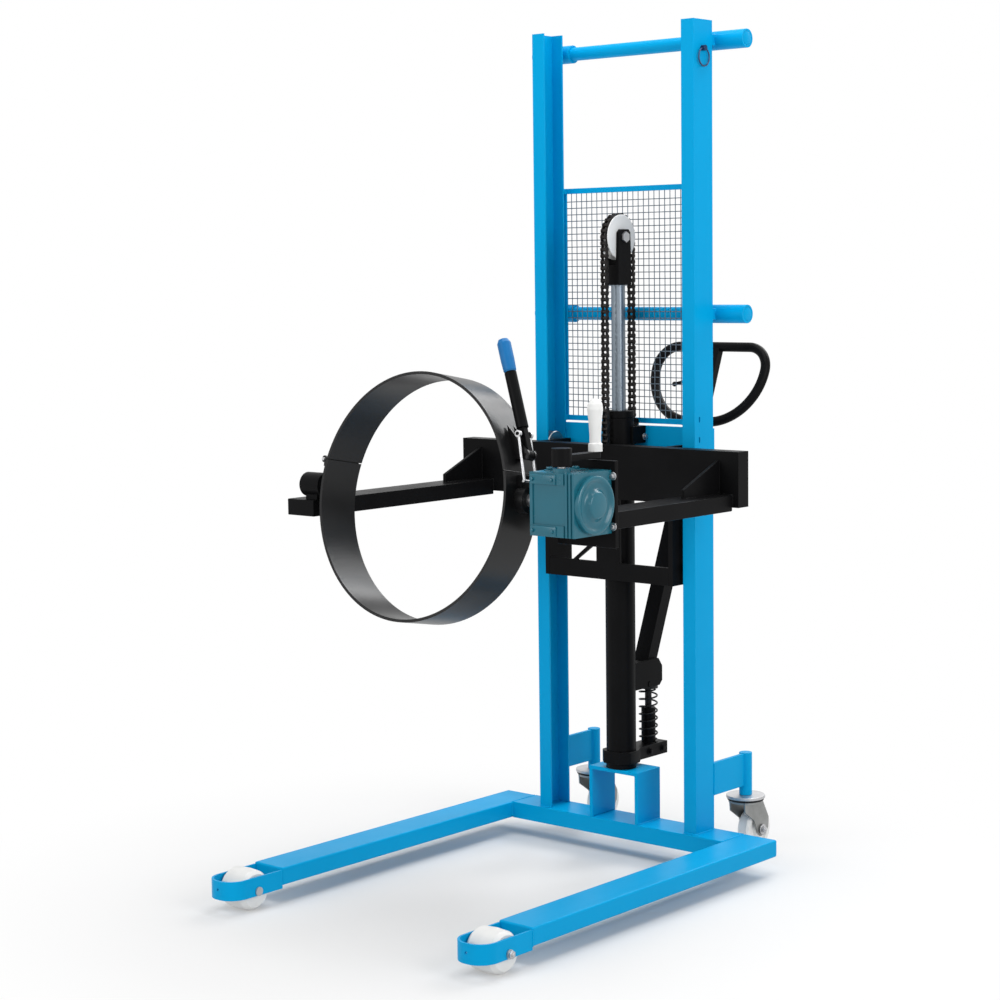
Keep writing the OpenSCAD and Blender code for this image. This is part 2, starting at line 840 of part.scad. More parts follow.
// Release lever beside the stem, with a ball end
module control_lever() {
    hub_d = 24;
    hub_t = 8;
    color(black) handle_frame() translate([0, 0, lever_z]) {
        translate([-handle_width / 4, -11 - gap - hub_t / 2, 0]) bar_y(hub_d, hub_t);
        translate([-handle_width / 4, -11 - gap - hub_t / 2, 0]) rotate([0, -15, 0])
            translate([-lever_reach / 2, 0, 0]) bar_x(lever_d, lever_reach);
        translate([-handle_width / 4, -11 - gap - hub_t / 2, 0]) rotate([0, -15, 0])
            translate([-lever_reach, 0, 0]) sphere(d = lever_d + 5);
    }
}

module pump_plunger() {
    stroke = press_arm * 0.9;
    low = bridge_top + block_foot + 6 + stroke;
    color(zinc) translate([0, plunger_y, 0]) {
        translate([0, 0, low]) cylinder(d = plunger_d, h = cap_top - low);
        translate([0, 0, cap_top - cap_t]) cylinder(d = spring_d, h = cap_t);
    }
}

// Points of a round ring of the spring's wire at one turn angle
function spring_ring(angle, low, rise, r, wire, sides) = [
    for (k = [0 : sides - 1])
        let (a = 360 * k / sides, out = r + wire * cos(a))
        [out * cos(angle), out * sin(angle), low + rise * angle / 360 + wire * sin(a)]
];

// Open helical spring from one z to another
module coil(low, high, r, wire, turns, steps, sides) {
    count = turns * steps;
    rise = (high - low - 2 * wire) / turns;
    points = [
        for (i = [0 : count]) each spring_ring(360 * i / steps, low + wire, rise, r, wire, sides)
    ];
    walls = [
        for (i = [0 : count - 1], k = [0 : sides - 1])
            let (next = (k + 1) % sides)
            [i * sides + k, (i + 1) * sides + k, (i + 1) * sides + next, i * sides + next]
    ];
    first = [for (k = [0 : sides - 1]) k];
    last = [for (k = [sides - 1 : -1 : 0]) count * sides + k];
    polyhedron(concat(points), concat(walls, [first], [last]), convexity = 10);
}

module pump_spring() {
    color(black) translate([0, plunger_y, 0])
        coil(block_top, cap_top - cap_t, (spring_d - spring_wire) / 2, spring_wire / 2, spring_turns, 18, 8);
}

// Chrome rod with its piston in the bore
module piston_rod() {
    color(zinc) translate([0, lift_y, 0]) {
        translate([0, 0, piston_low]) cylinder(d = rod_d, h = fork_low - piston_low);
        translate([0, 0, piston_low]) cylinder(d = cylinder_bore - 2 * fit, h = piston_t);
    }
}

// Block and two cheeks that carry the sheave
module sheave_fork() {
    color(black) translate([0, lift_y, 0]) difference() {
        union() {
            span([-fork_half, -fork_depth / 2, fork_low], [fork_half, fork_depth / 2, fork_floor]);
            for (side = [-1, 1]) translate([side * (cheek_in + cheek_t / 2), 0, 0]) plate_x(cheek_t)
                polygon([
                    [-fork_depth / 2, fork_floor],
                    [fork_depth / 2, fork_floor],
                    [fork_depth / 2 - 3, fork_high - 8],
                    [fork_depth / 2 - 11, fork_high],
                    [-fork_depth / 2 + 11, fork_high],
                    [-fork_depth / 2 + 3, fork_high - 8]
                ]);
        }
        translate([0, 0, sheave_z]) bar_x(sheave_axle_d + 2 * fit, 2 * fork_half + 2);
    }
}

module sheave_axle() {
    head = 6;
    color(zinc) translate([0, lift_y, sheave_z]) {
        bar_x(sheave_axle_d, 2 * fork_half);
        for (side = [-1, 1]) translate([side * (fork_half + head / 2), 0, 0])
            rotate([0, 90, 0]) cylinder(d = sheave_axle_d + 8, h = head, center = true, $fn = 6);
    }
}

// Nylon sheave with a groove for the chain's rollers between two rims
module chain_sheave() {
    half = sheave_width / 2;
    rim_r = sheave_r + 2;
    floor_r = sheave_r - chain_plate / 2 - 0.4;
    groove = chain_half + 1.4;
    outline = [
        [sheave_axle_d / 2 + fit, -half], [rim_r - 2, -half], [rim_r, -half + 1], [rim_r, -groove],
        [floor_r, -groove + 0.4], [floor_r, groove - 0.4], [rim_r, groove],
        [rim_r, half - 1], [rim_r - 2, half],
        [sheave_axle_d / 2 + fit, half]
    ];
    color(nylon) translate([0, lift_y, sheave_z]) rotate([0, 90, 0])
        rotate_extrude($fn = 72) polygon(outline);
}

// One pitch of chain from the origin up to z = pitch: inner links hold the bushes, outer links the pins
module chain_link(inner) {
    x0 = inner ? chain_inner : chain_outer;
    bar = inner ? chain_roller_d : chain_pin_d;
    long = inner ? 2 * chain_inner : 2 * chain_half + 1;
    difference() {
        union() {
            for (side = [-1, 1]) translate([side * (x0 + chain_plate_t / 2), 0, 0]) plate_x(chain_plate_t) {
                circle(d = chain_plate, $fn = 24);
                translate([0, chain_pitch]) circle(d = chain_plate, $fn = 24);
                translate([-chain_plate * 0.36, 0]) square([chain_plate * 0.72, chain_pitch]);
            }
            for (z = [0, chain_pitch]) translate([0, 0, z]) bar_x(bar, long, $fn = 24);
        }
        if (inner) for (z = [0, chain_pitch]) translate([0, 0, z])
            bar_x(chain_pin_d + 4 * fit, 4 * chain_outer, $fn = 24);
    }
}

// Even links are inner ones, counted from the carriage's end of the chain
module chain_front() {
    color(black) for (i = [0 : front_links - 1])
        translate([0, front_y, front_end_z + i * chain_pitch]) chain_link(i % 2 == 0);
}

module chain_wrap() {
    step = 180 / chain_links_round;
    color(black) translate([0, lift_y, sheave_z]) for (i = [0 : chain_links_round - 1])
        rotate([-step * i, 0, 0]) translate([0, -sheave_r, 0]) rotate([-step / 2, 0, 0])
            chain_link((front_links + i) % 2 == 0);
}

module chain_rear() {
    color(black) for (i = [0 : rear_links - 1])
        translate([0, rear_y, rear_end_z + i * chain_pitch]) chain_link(i % 2 == 0);
}

lug_half = 30;

// Wide hollow beam with the lug that takes the chain's front end
module carriage_beam() {
    wall = 5;
    lug_top = front_end_z - chain_plate / 2 - 3;
    color(black) {
        difference() {
            span([-beam_half, -beam_front, beam_low], [beam_half, -beam_back, beam_top]);
            span([-beam_half + wall, -beam_front + wall, beam_low + wall],
                 [beam_half - wall, -beam_back - wall, beam_top - wall]);
        }
        span([-lug_half, -beam_back, beam_low], [lug_half, -lower_bar_back, lug_top]);
        for (side = [-1, 1]) translate([side * (ear_in + ear_t / 2), 0, 0]) plate_x(ear_t) {
            translate([front_y, front_end_z]) circle(ear_r);
            translate([front_y - ear_r, lug_top]) square([2 * ear_r, front_end_z - lug_top]);
        }
        translate([0, front_y, front_end_z]) bar_x(chain_pin_d, 2 * (ear_in + ear_t));
    }
}

// Side plates reach back between the posts and carry the stub axles
module side_plates() {
    rear = 27;
    stub = post_x - channel_wall - 2 - plate_out;
    color(black) both_sides() {
        translate([plate_in + side_plate_t / 2, 0, 0]) plate_x(side_plate_t) {
            translate([-lower_bar_front, lower_bar_z])
                square([lower_bar_front + rear, beam_top - lower_bar_z]);
            translate([-beam_back, beam_low - 14]) square([beam_back, beam_height + 14]);
        }
        for (z = [upper_roller_z, lower_roller_z])
            translate([plate_out + stub / 2, 0, z]) bar_x(stub_d, stub);
    }
}

// Lower bar between the side plates, with the middle strip and the brace welded to it
module lower_bar() {
    strip_half = cylinder_d / 2 - 1;
    brace_w = 14;
    brace_run = 65;
    brace_rise = 48;
    color(black) {
        span([-plate_in, -lower_bar_front, lower_bar_z], [plate_in, -lower_bar_back, lower_bar_top]);
        span([-strip_half, -lower_bar_front, lower_bar_top], [strip_half, -lower_bar_back, beam_low]);
        translate([0, -lower_bar_back - lower_bar_t / 2, 0]) plate_y(lower_bar_t)
            polygon([
                [-strip_half - brace_run, lower_bar_top],
                [-strip_half, lower_bar_top + brace_rise],
                [-strip_half, lower_bar_top + brace_rise + brace_w],
                [-strip_half - brace_run - brace_w, lower_bar_top]
            ]);
    }
}

// Flat tube with a web on top at its root
module arm_tube(front) {
    wall = 4;
    web_t = 10;
    web_length = 146;
    web_height = 85;
    web_end = 22;
    difference() {
        span([-arm_width / 2, -front, arm_low], [arm_width / 2, -beam_front, arm_top]);
        span([-arm_width / 2 + wall, -front + wall, arm_low + wall],
             [arm_width / 2 - wall, -beam_front - wall, arm_top - wall]);
    }
    plate_x(web_t) polygon([
        [-beam_front, arm_top],
        [-beam_front, arm_top + web_height],
        [-beam_front - web_length, arm_top + web_end],
        [-beam_front - web_length, arm_top]
    ]);
}

bearing_length = 64;
bearing_x = arm_x - 20;

// The left arm ends under the hoop's plain bearing, which is welded on
module left_arm() {
    outer = 60;
    seat = 20;
    color(black) {
        translate([-arm_x, 0, 0]) arm_tube(tilt_y + 38);
        translate([-bearing_x, -tilt_y, 0]) difference() {
            union() {
                translate([0, 0, tilt_z]) bar_x(outer, bearing_length);
                span([-seat, -seat, arm_top], [seat, seat, tilt_z]);
            }
            translate([0, 0, tilt_z]) bar_x(shaft_d + 2 * fit, bearing_length + 2);
        }
    }
}

// The right arm also has a web below, against the drive's plate
module right_arm() {
    back = -plate_front - drive_plate_t;
    color(black) translate([arm_x, 0, 0]) {
        arm_tube(back);
        plate_x(10) polygon([
            [-back, arm_low], [-back, arm_low - 26], [-back + 30, arm_low - 26], [-back + 210, arm_low]
        ]);
    }
}

// Two rollers of one height, one in each post
module roller_pair(z) {
    half = carriage_roller_width / 2;
    outline = [
        [stub_d / 2 + fit, -half], [carriage_roller_d / 2 - 2, -half], [carriage_roller_d / 2, -half + 2],
        [carriage_roller_d / 2, half - 2], [carriage_roller_d / 2 - 2, half], [stub_d / 2 + fit, half]
    ];
    color(zinc) both_sides() translate([carriage_roller_x + half, 0, z]) rotate([0, 90, 0])
        rotate_extrude() polygon(outline);
}

module upper_rollers() {
    roller_pair(upper_roller_z);
}

module lower_rollers() {
    roller_pair(lower_roller_z);
}

// Plate on the right arm's end that the gearbox is bolted to
module gearbox_plate() {
    color(black) span([arm_x - arm_width / 2, plate_front, arm_low - 28],
                      [gearbox_right + 10, plate_front + drive_plate_t, gearbox_high + 20]);
}

worm_room = worm_r + gear_module + 2;
wheel_room = wheel_r + gear_module + 4;

// Cast housing: panel on the front, ribs beside it, round wheel chamber open to the cover
module gearbox_housing() {
    rib = 3;
    band = 26;
    chamber_low = gearbox_left + 12;
    color(casting) difference() {
        union() {
            span([gearbox_left, gearbox_front + rib, gearbox_low],
                 [gearbox_right, plate_front, gearbox_high]);
            for (z = [gearbox_low, gearbox_high - band])
                span([gearbox_left, gearbox_front, z], [gearbox_right - 30, gearbox_front + rib, z + band]);
            for (i = [0 : 2])
                span([gearbox_right - 25 + 10 * i, gearbox_front, gearbox_low],
                     [gearbox_right - 20 + 10 * i, gearbox_front + rib, gearbox_high]);
            span([gearbox_left, gearbox_front, gearbox_low + band],
                 [gearbox_left + 8, gearbox_front + rib, gearbox_high - band]);
            translate([wheel_x, worm_y, gearbox_high]) cylinder(d = worm_shaft_d + 22, h = 10);
        }
        translate([(chamber_low + gearbox_right + 1) / 2, -tilt_y, tilt_z])
            bar_x(2 * wheel_room, gearbox_right + 1 - chamber_low);
        translate([gearbox_left, -tilt_y, tilt_z]) bar_x(shaft_d + 2 * fit, 60);
        translate([wheel_x, worm_y, gearbox_low + 20])
            cylinder(r = worm_room, h = gearbox_height - 40);
        translate([wheel_x, worm_y, gearbox_low + 6])
            cylinder(d = worm_shaft_d + 2 * fit, h = gearbox_height + 20);
    }
}

// Round cover with a raised rim and a stepped boss over the shaft's end
module gearbox_cover() {
    rim = 9;
    recess = 4;
    step_d = 86;
    boss = 62;
    color(casting) translate([gearbox_right, -tilt_y, tilt_z]) difference() {
        union() {
            translate([cover_t / 2, 0, 0]) bar_x(cover_d, cover_t);
            translate([(cover_t + boss_rise / 2) / 2, 0, 0]) bar_x(step_d, cover_t + boss_rise / 2);
            translate([(cover_t + boss_rise) / 2, 0, 0]) bar_x(boss, cover_t + boss_rise);
        }
        difference() {
            translate([cover_t, 0, 0]) bar_x(cover_d - 2 * rim, 2 * recess);
            translate([cover_t, 0, 0]) bar_x(step_d, 2 * recess + 2);
        }
        bar_x(shaft_d + 2 * fit, 2 * (cover_t + 3));
    }
}

// The whole band of the hoop, about the Y axis
module hoop_band() {
    translate([0, -tilt_y, hoop_z]) difference() {
        bar_y(hoop_d, hoop_width);
        bar_y(2 * hoop_in, hoop_width + 2);
    }
}

split_gap = 1;
knuckle_d = 17;

// Hinge knuckle with its leaf against the band, between two places along Y
module knuckle(from, to, leaf_low, leaf_high) {
    middle = -tilt_y + (from + to) / 2;
    translate([hinge_x, middle, split_z]) bar_y(knuckle_d, to - from);
    difference() {
        span([hinge_x, middle - (to - from) / 2, split_z + leaf_low],
             [hinge_x + 30, middle + (to - from) / 2, split_z + leaf_high]);
        translate([0, -tilt_y, hoop_z]) bar_y(hoop_d - 1, hoop_width + 2);
    }
}

// Lower half: bosses for the trunnions, outer knuckles and the latch's hook
module hoop_lower() {
    third = hoop_width / 6;
    edge = hoop_width / 2 - 2;
    color(black) tilted() difference() {
        union() {
            difference() {
                hoop_band();
                span([-hoop_d, -tilt_y - hoop_width, split_z - split_gap],
                     [hoop_d, -tilt_y + hoop_width, split_z + hoop_d]);
            }
            difference() {
                for (side = [-1, 1]) translate([side * (hoop_in + boss_reach) / 2, -tilt_y, tilt_z])
                    bar_x(boss_d, boss_reach - hoop_in);
                translate([0, -tilt_y, hoop_z]) bar_y(hoop_d - 1, hoop_width + 2);
            }
            knuckle(-edge, -third, -knuckle_d, -split_gap);
            knuckle(third, edge, -knuckle_d, -split_gap);
            translate([0, -tilt_y, hoop_z]) difference() {
                plate_y(2 * latch_ear_in + 10) polygon([
                    [hoop_r - 12, catch_v - 14],
                    [catch_u - 12, catch_v - 14],
                    [catch_u - 12, catch_v + 4],
                    [catch_u - 5, catch_v + 4],
                    [catch_u - 5, catch_v + 13],
                    [hoop_r - 12, catch_v + 13]
                ]);
                bar_y(hoop_d - 1, hoop_width + 2);
            }
        }
        translate([hinge_x, -tilt_y, split_z]) bar_y(hinge_pin_d + 2 * fit, hoop_width + 2);
        for (side = [-1, 1]) translate([side * boss_reach, -tilt_y, tilt_z])
            bar_x(shaft_d + 2 * fit, 2 * seat_depth);
    }
}

seat_depth = 22;

// Plain trunnion on the left, output shaft through the gearbox on the right
module hoop_trunnions() {
    root = boss_reach - seat_depth;
    left_end = bearing_x + bearing_length / 2 - 3;
    right_end = gearbox_right + cover_t + 1;
    color(zinc) translate([0, -tilt_y, tilt_z]) {
        translate([-(root + left_end) / 2, 0, 0]) bar_x(shaft_d, left_end - root);
        translate([(root + right_end) / 2, 0, 0]) bar_x(shaft_d, right_end - root);
    }
}

tooth_play = 0.5;
pressure = 20;
tooth_add = gear_module;
tooth_ded = 1.25 * gear_module;
base_r = wheel_r * cos(pressure);
worm_lead = PI * gear_module;

// Half the width of the worm's thread at a height above its pitch line
function thread_half(height) = (worm_lead / 2 - tooth_play) / 2 - height * tan(pressure);

// Angle from a base-circle point to its involute, in degrees
function involute(angle) = tan(angle) * 180 / PI - angle;

// Half the angle that a wheel tooth takes up at a radius
function tooth_angle(r) =
    (worm_lead / 2 - tooth_play) / 2 / wheel_r * 180 / PI
    + involute(pressure) - involute(acos(min(1, base_r / r)));

// Corner of a wheel tooth on one side
function tooth_point(r, side) = [r * cos(tooth_angle(r)), side * r * sin(tooth_angle(r))];

// Wheel teeth lean with the worm's lead
module worm_wheel() {
    root_r = wheel_r - tooth_ded;
    tip_r = wheel_r + tooth_add;
    lean = atan(1 / worm_q);
    turn = wheel_width * tan(lean) / wheel_r * 180 / PI;
    radii = [root_r - 1, base_r, wheel_r, tip_r];
    color("goldenrod") translate([wheel_x, -tilt_y, tilt_z]) difference() {
        rotate([0, 90, 0]) translate([0, 0, -wheel_width / 2]) rotate(-turn / 2)
            linear_extrude(wheel_width, twist = -turn, slices = 4) union() {
                circle(root_r, $fn = 60);
                for (i = [0 : wheel_teeth - 1]) rotate(360 * i / wheel_teeth)
                    polygon(concat(
                        [for (r = radii) tooth_point(r, -1)],
                        [for (k = [len(radii) - 1 : -1 : 0]) tooth_point(radii[k], 1)]
                    ));
            }
        bar_x(shaft_d + 2 * fit, wheel_width + 2);
    }
}

// Upper half: middle knuckle and the latch's two ears
module hoop_upper() {
    third = hoop_width / 6;
    color(black) tilted() difference() {
        union() {
            difference() {
                hoop_band();
                span([-hoop_d, -tilt_y - hoop_width, split_z - 2 * hoop_d],
                     [hoop_d, -tilt_y + hoop_width, split_z + split_gap]);
            }
            knuckle(-third + gap, third - gap, split_gap, knuckle_d);
            for (y = latch_ear_y) translate([0, y - tilt_y, hoop_z]) difference() {
                plate_y(latch_ear_t) {
                    translate([latch_u, latch_v]) circle(12);
                    polygon([
                        [latch_u - 34, latch_v - 10],
                        [latch_u + 4, latch_v - 11.3],
                        [latch_u + 11.5, latch_v + 4],
                        [latch_u - 62, latch_v + 66]
                    ]);
                }
                bar_y(hoop_d - 1, hoop_width + 2);
            }
        }
        translate([hinge_x, -tilt_y, split_z]) bar_y(hinge_pin_d + 2 * fit, hoop_width + 2);
        translate([latch_u, -tilt_y, hoop_z + latch_v]) bar_y(latch_pin_d + 2 * fit, hoop_width);
    }
}

latch_pin_d = 8;
latch_ear_in = 9;
latch_ear_t = 5;
latch_ear_y = [-latch_ear_in - latch_ear_t / 2, latch_ear_in + latch_ear_t / 2];
lever_t = 16;

module hinge_pin() {
    color(zinc) tilted() translate([hinge_x, -tilt_y, split_z]) bar_y(hinge_pin_d, hoop_width + 6);
}

// Places a child at the lever's pivot with +Z along the lever
module lever_frame() {
    tilted() translate([latch_u, -tilt_y, hoop_z + latch_v]) rotate([0, -lever_angle, 0]) children();
}

lever_grip_length = 82;
lever_core_d = 14;

// Lever with its pivot pin and the bail's cross pin: flat between the ears, round above
module latch_lever() {
    low = bail_pin_reach + 16;
    color(black) lever_frame() {
        plate_y(lever_t) {
            circle(11);
            translate([-8, 0]) square([16, bail_pin_reach + 30]);
        }
        translate([0, 0, low]) cylinder(d = 28, h = latch_length - lever_grip_length - low);
        translate([0, 0, low + 4]) cylinder(d = lever_core_d, h = latch_length - low - 10);
        bar_y(latch_pin_d, 2 * (latch_ear_in + latch_ear_t) + 2);
        translate([0, 0, bail_pin_reach]) bar_y(latch_pin_d, 2 * bail_half + bail_wire + 4);
    }
}

module lever_grip() {
    outer = 32;
    bore = lever_core_d + 2 * fit;
    tip = latch_length;
    base = latch_length - lever_grip_length + 1;
    color(paint) lever_frame() rotate_extrude() polygon([
        [bore / 2, base], [outer / 2 - 3, base], [outer / 2 - 1, base + 4], [outer / 2, base + 30],
        [outer / 2, tip - 10], [outer / 2 - 4, tip - 1], [outer / 2 - 9, tip + 1], [0, tip + 1],
        [0, tip - 5], [bore / 2, tip - 5]
    ]);
}

// U-bolt: an eye on each side of the lever, two rods and the bar that goes under the hook
module latch_bail() {
    du = catch_u - bail_u;
    dv = bail_v - catch_v;
    length = sqrt(du * du + dv * dv);
    color(zinc) tilted() translate([0, -tilt_y, hoop_z]) difference() {
        union() {
            for (side = [-1, 1]) translate([bail_u, side * bail_half, bail_v]) {
                bar_y(latch_pin_d + 8, bail_wire);
                rotate([0, 180 - atan2(du, dv), 0]) cylinder(d = bail_wire, h = length);
            }
            translate([catch_u, 0, catch_v]) bar_y(bail_wire, 2 * bail_half + bail_wire);
        }
        translate([bail_u, 0, bail_v]) bar_y(latch_pin_d + 2 * fit, 4 * bail_half);
    }
}

// Points of the worm thread's section at one turn angle
function worm_ring(angle, low) =
    let (root = worm_r - tooth_ded, tip = worm_r + tooth_add, z = low + worm_lead * angle / 360)
    [
        for (p = [[root - 1, -thread_half(-tooth_ded)], [tip, -thread_half(tooth_add)],
                  [tip, thread_half(tooth_add)], [root - 1, thread_half(-tooth_ded)]])
            [p[0] * cos(angle), p[0] * sin(angle), z + p[1]]
    ];

worm_turns = 6.5;

// Single-start worm with journals, and the upper end that takes the crank
module worm_shaft() {
    steps = 24;
    count = worm_turns * steps;
    low = tilt_z - worm_turns / 2 * worm_lead;
    points = [for (i = [0 : count]) each worm_ring(360 * i / steps, low)];
    walls = [
        for (i = [0 : count - 1], k = [0 : 3])
            let (next = (k + 1) % 4)
            [i * 4 + k, i * 4 + next, (i + 1) * 4 + next, (i + 1) * 4 + k]
    ];
    first = [3, 2, 1, 0];
    last = [for (k = [0 : 3]) count * 4 + k];
    core = worm_turns * worm_lead + 8;
    journal_low = gearbox_low + 8;
    journal_high = tilt_z + core / 2;
    color(zinc) translate([wheel_x, worm_y, 0]) {
        polyhedron(points, concat(walls, [first], [last]), convexity = 8);
        translate([0, 0, journal_low + 1])
            cylinder(r = worm_r - tooth_ded, h = journal_high + 1 - journal_low);
        translate([0, 0, journal_low]) cylinder(d = worm_shaft_d, h = tilt_z - core / 2 - journal_low);
        translate([0, 0, journal_high])
            cylinder(d = worm_shaft_d, h = crank_z + crank_t + hub_rise - 2 - journal_high);
    }
}

hub_rise = 16;
grip_pin_d = 10;

// Crank: hub clamped on the worm shaft, flat arm, pin for the grip
module crank_arm() {
    hub_d = 46;
    hub_drop = 10;
    eye_r = 12;
    color(black) translate([wheel_x, worm_y, crank_z]) difference() {
        union() {
            linear_extrude(crank_t) link_outline(hub_d / 2 - 3, 0, eye_r, crank_radius);
            translate([0, 0, -hub_drop]) cylinder(d = hub_d, h = hub_drop + crank_t + hub_rise);
            translate([0, crank_radius, 0]) cylinder(d = grip_pin_d, h = crank_t + grip_height - 8);
        }
        translate([0, 0, -hub_drop - 1])
            cylinder(d = worm_shaft_d + 2 * fit, h = hub_drop + crank_t + hub_rise - 1);
    }
}

// Turned nylon grip that spins on the crank's pin
module crank_grip() {
    bore = grip_pin_d / 2 + fit;
    low = crank_z + crank_t + gap;
    foot = 20;
    foot_r = 16;
    waist = grip_d * 0.36;
    outline = [
        [bore, 0], [foot_r, 0], [foot_r, foot - 3], [foot_r - 3, foot], [waist, foot + 1],
        [waist, grip_height * 0.3], [grip_d * 0.42, grip_height * 0.6], [grip_d / 2, grip_height * 0.8],
        [grip_d * 0.46, grip_height * 0.9], [grip_d * 0.3, grip_height * 0.98], [grip_d * 0.12, grip_height],
        [0, grip_height], [0, grip_height - 6], [bore, grip_height - 6]
    ];
    color(nylon) translate([wheel_x, worm_y + crank_radius, low]) rotate_extrude() polygon(outline);
}

base_crossbar();
base_legs();
roller_straps();
roller_axles();
left_front_roller();
right_front_roller();
mast_posts();
tie_bars();
bar_sleeves();
lock_pin();
lock_ring();
back_plate();
guard_frame();
guard_mesh();
outriggers();
caster_plates();
dust_rings();
left_caster_fork();
right_caster_fork();
left_caster_wheel();
right_caster_wheel();
pump_bridge();
pump_block();
lift_cylinder();
cylinder_gland();
chain_anchor();
handle_bracket();
handle_tube();
handle_loop();
control_lever();
pump_plunger();
pump_spring();
piston_rod();
sheave_fork();
sheave_axle();
chain_sheave();
chain_front();
chain_wrap();
chain_rear();
carriage_beam();
side_plates();
lower_bar();
left_arm();
right_arm();
upper_rollers();
lower_rollers();
gearbox_plate();
gearbox_housing();
gearbox_cover();
hoop_lower();
hoop_trunnions();
worm_wheel();
hoop_upper();
hinge_pin();
latch_lever();
lever_grip();
latch_bail();
worm_shaft();
crank_arm();
crank_grip();
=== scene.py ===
import json
import math

import bpy
from mathutils import Matrix, Vector
from mathutils.bvhtree import BVHTree

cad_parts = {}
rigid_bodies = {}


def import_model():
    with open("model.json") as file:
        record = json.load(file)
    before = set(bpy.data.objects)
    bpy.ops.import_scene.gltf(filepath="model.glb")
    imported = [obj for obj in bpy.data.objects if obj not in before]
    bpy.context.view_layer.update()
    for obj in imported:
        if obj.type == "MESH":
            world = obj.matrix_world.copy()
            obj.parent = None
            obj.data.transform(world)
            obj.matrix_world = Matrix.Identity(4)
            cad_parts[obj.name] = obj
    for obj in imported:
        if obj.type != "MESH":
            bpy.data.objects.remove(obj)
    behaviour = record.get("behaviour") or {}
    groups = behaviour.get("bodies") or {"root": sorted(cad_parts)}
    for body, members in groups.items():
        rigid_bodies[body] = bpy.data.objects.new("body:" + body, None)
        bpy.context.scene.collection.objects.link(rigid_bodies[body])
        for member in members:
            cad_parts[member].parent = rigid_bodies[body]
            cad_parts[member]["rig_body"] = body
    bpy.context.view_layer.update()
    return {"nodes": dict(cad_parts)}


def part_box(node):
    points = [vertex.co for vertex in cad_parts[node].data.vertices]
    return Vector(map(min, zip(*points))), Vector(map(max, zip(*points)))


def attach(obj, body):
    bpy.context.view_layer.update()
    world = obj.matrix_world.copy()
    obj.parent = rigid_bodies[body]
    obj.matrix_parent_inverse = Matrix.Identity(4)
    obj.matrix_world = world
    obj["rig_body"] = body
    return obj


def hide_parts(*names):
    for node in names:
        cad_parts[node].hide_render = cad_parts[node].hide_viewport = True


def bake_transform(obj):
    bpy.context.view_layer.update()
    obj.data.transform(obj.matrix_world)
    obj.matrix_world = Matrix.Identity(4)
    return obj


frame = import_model()

# Studio: a pale seamless floor that fades to white, soft light from the right,
# the front and above, and a camera about six metres off at chest height.
camera_place = Vector((3.5183, -4.5630, 1.5283))
camera_turn = math.radians(40.83)
camera_pitch = math.radians(5.86)
camera_roll = math.radians(-0.72)
image_size = 1000
focal_pixels = 2216
sensor_mm = 36

lens = bpy.data.cameras.new("photo_lens")
lens.sensor_width = sensor_mm
lens.sensor_fit = "HORIZONTAL"
lens.lens = focal_pixels * sensor_mm / image_size
lens.clip_end = 60
camera = bpy.data.objects.new("photo_camera", lens)
bpy.context.scene.collection.objects.link(camera)
camera.matrix_world = (
    Matrix.Translation(camera_place)
    @ Matrix.Rotation(camera_turn, 4, "Z")
    @ Matrix.Rotation(math.pi / 2 - camera_pitch, 4, "X")
    @ Matrix.Rotation(camera_roll, 4, "Z")
)
bpy.context.scene.camera = camera
bpy.context.scene.view_settings.view_transform = "Standard"

floor_radius, floor_middle = 14, (0, -0.3, 0)
fade_middle = (0, -0.45, 0)
fade_from, fade_to = 0.35, 1.5
paper_grey = 0.72
bpy.ops.object.select_all(action="DESELECT")
bpy.ops.mesh.primitive_circle_add(
    vertices=96, radius=floor_radius, fill_type="NGON", location=floor_middle
)
floor = bpy.context.object
floor.name = "studio_floor"
bpy.ops.object.transform_apply(location=True, rotation=True, scale=True)
floor_mat = bpy.data.materials.new("studio_floor")
floor_mat.use_nodes = True
tree = floor_mat.node_tree
tree.nodes.clear()
place = tree.nodes.new("ShaderNodeTexCoord")
away = tree.nodes.new("ShaderNodeVectorMath")
away.operation = "DISTANCE"
away.inputs[1].default_value = fade_middle
fade = tree.nodes.new("ShaderNodeMapRange")
fade.interpolation_type = "SMOOTHSTEP"
fade.inputs["From Min"].default_value = fade_from
fade.inputs["From Max"].default_value = fade_to
paper = tree.nodes.new("ShaderNodeBsdfDiffuse")
paper.inputs["Color"].default_value = (paper_grey, paper_grey, paper_grey, 1)
glow = tree.nodes.new("ShaderNodeEmission")
glow.inputs["Color"].default_value = (1, 1, 1, 1)
blend_paper = tree.nodes.new("ShaderNodeMixShader")
ends = tree.nodes.new("ShaderNodeOutputMaterial")
tree.links.new(place.outputs["Object"], away.inputs[0])
tree.links.new(away.outputs["Value"], fade.inputs["Value"])
tree.links.new(fade.outputs["Result"], blend_paper.inputs["Fac"])
tree.links.new(paper.outputs["BSDF"], blend_paper.inputs[1])
tree.links.new(glow.outputs["Emission"], blend_paper.inputs[2])
tree.links.new(blend_paper.outputs["Shader"], ends.inputs["Surface"])
floor.data.materials.append(floor_mat)

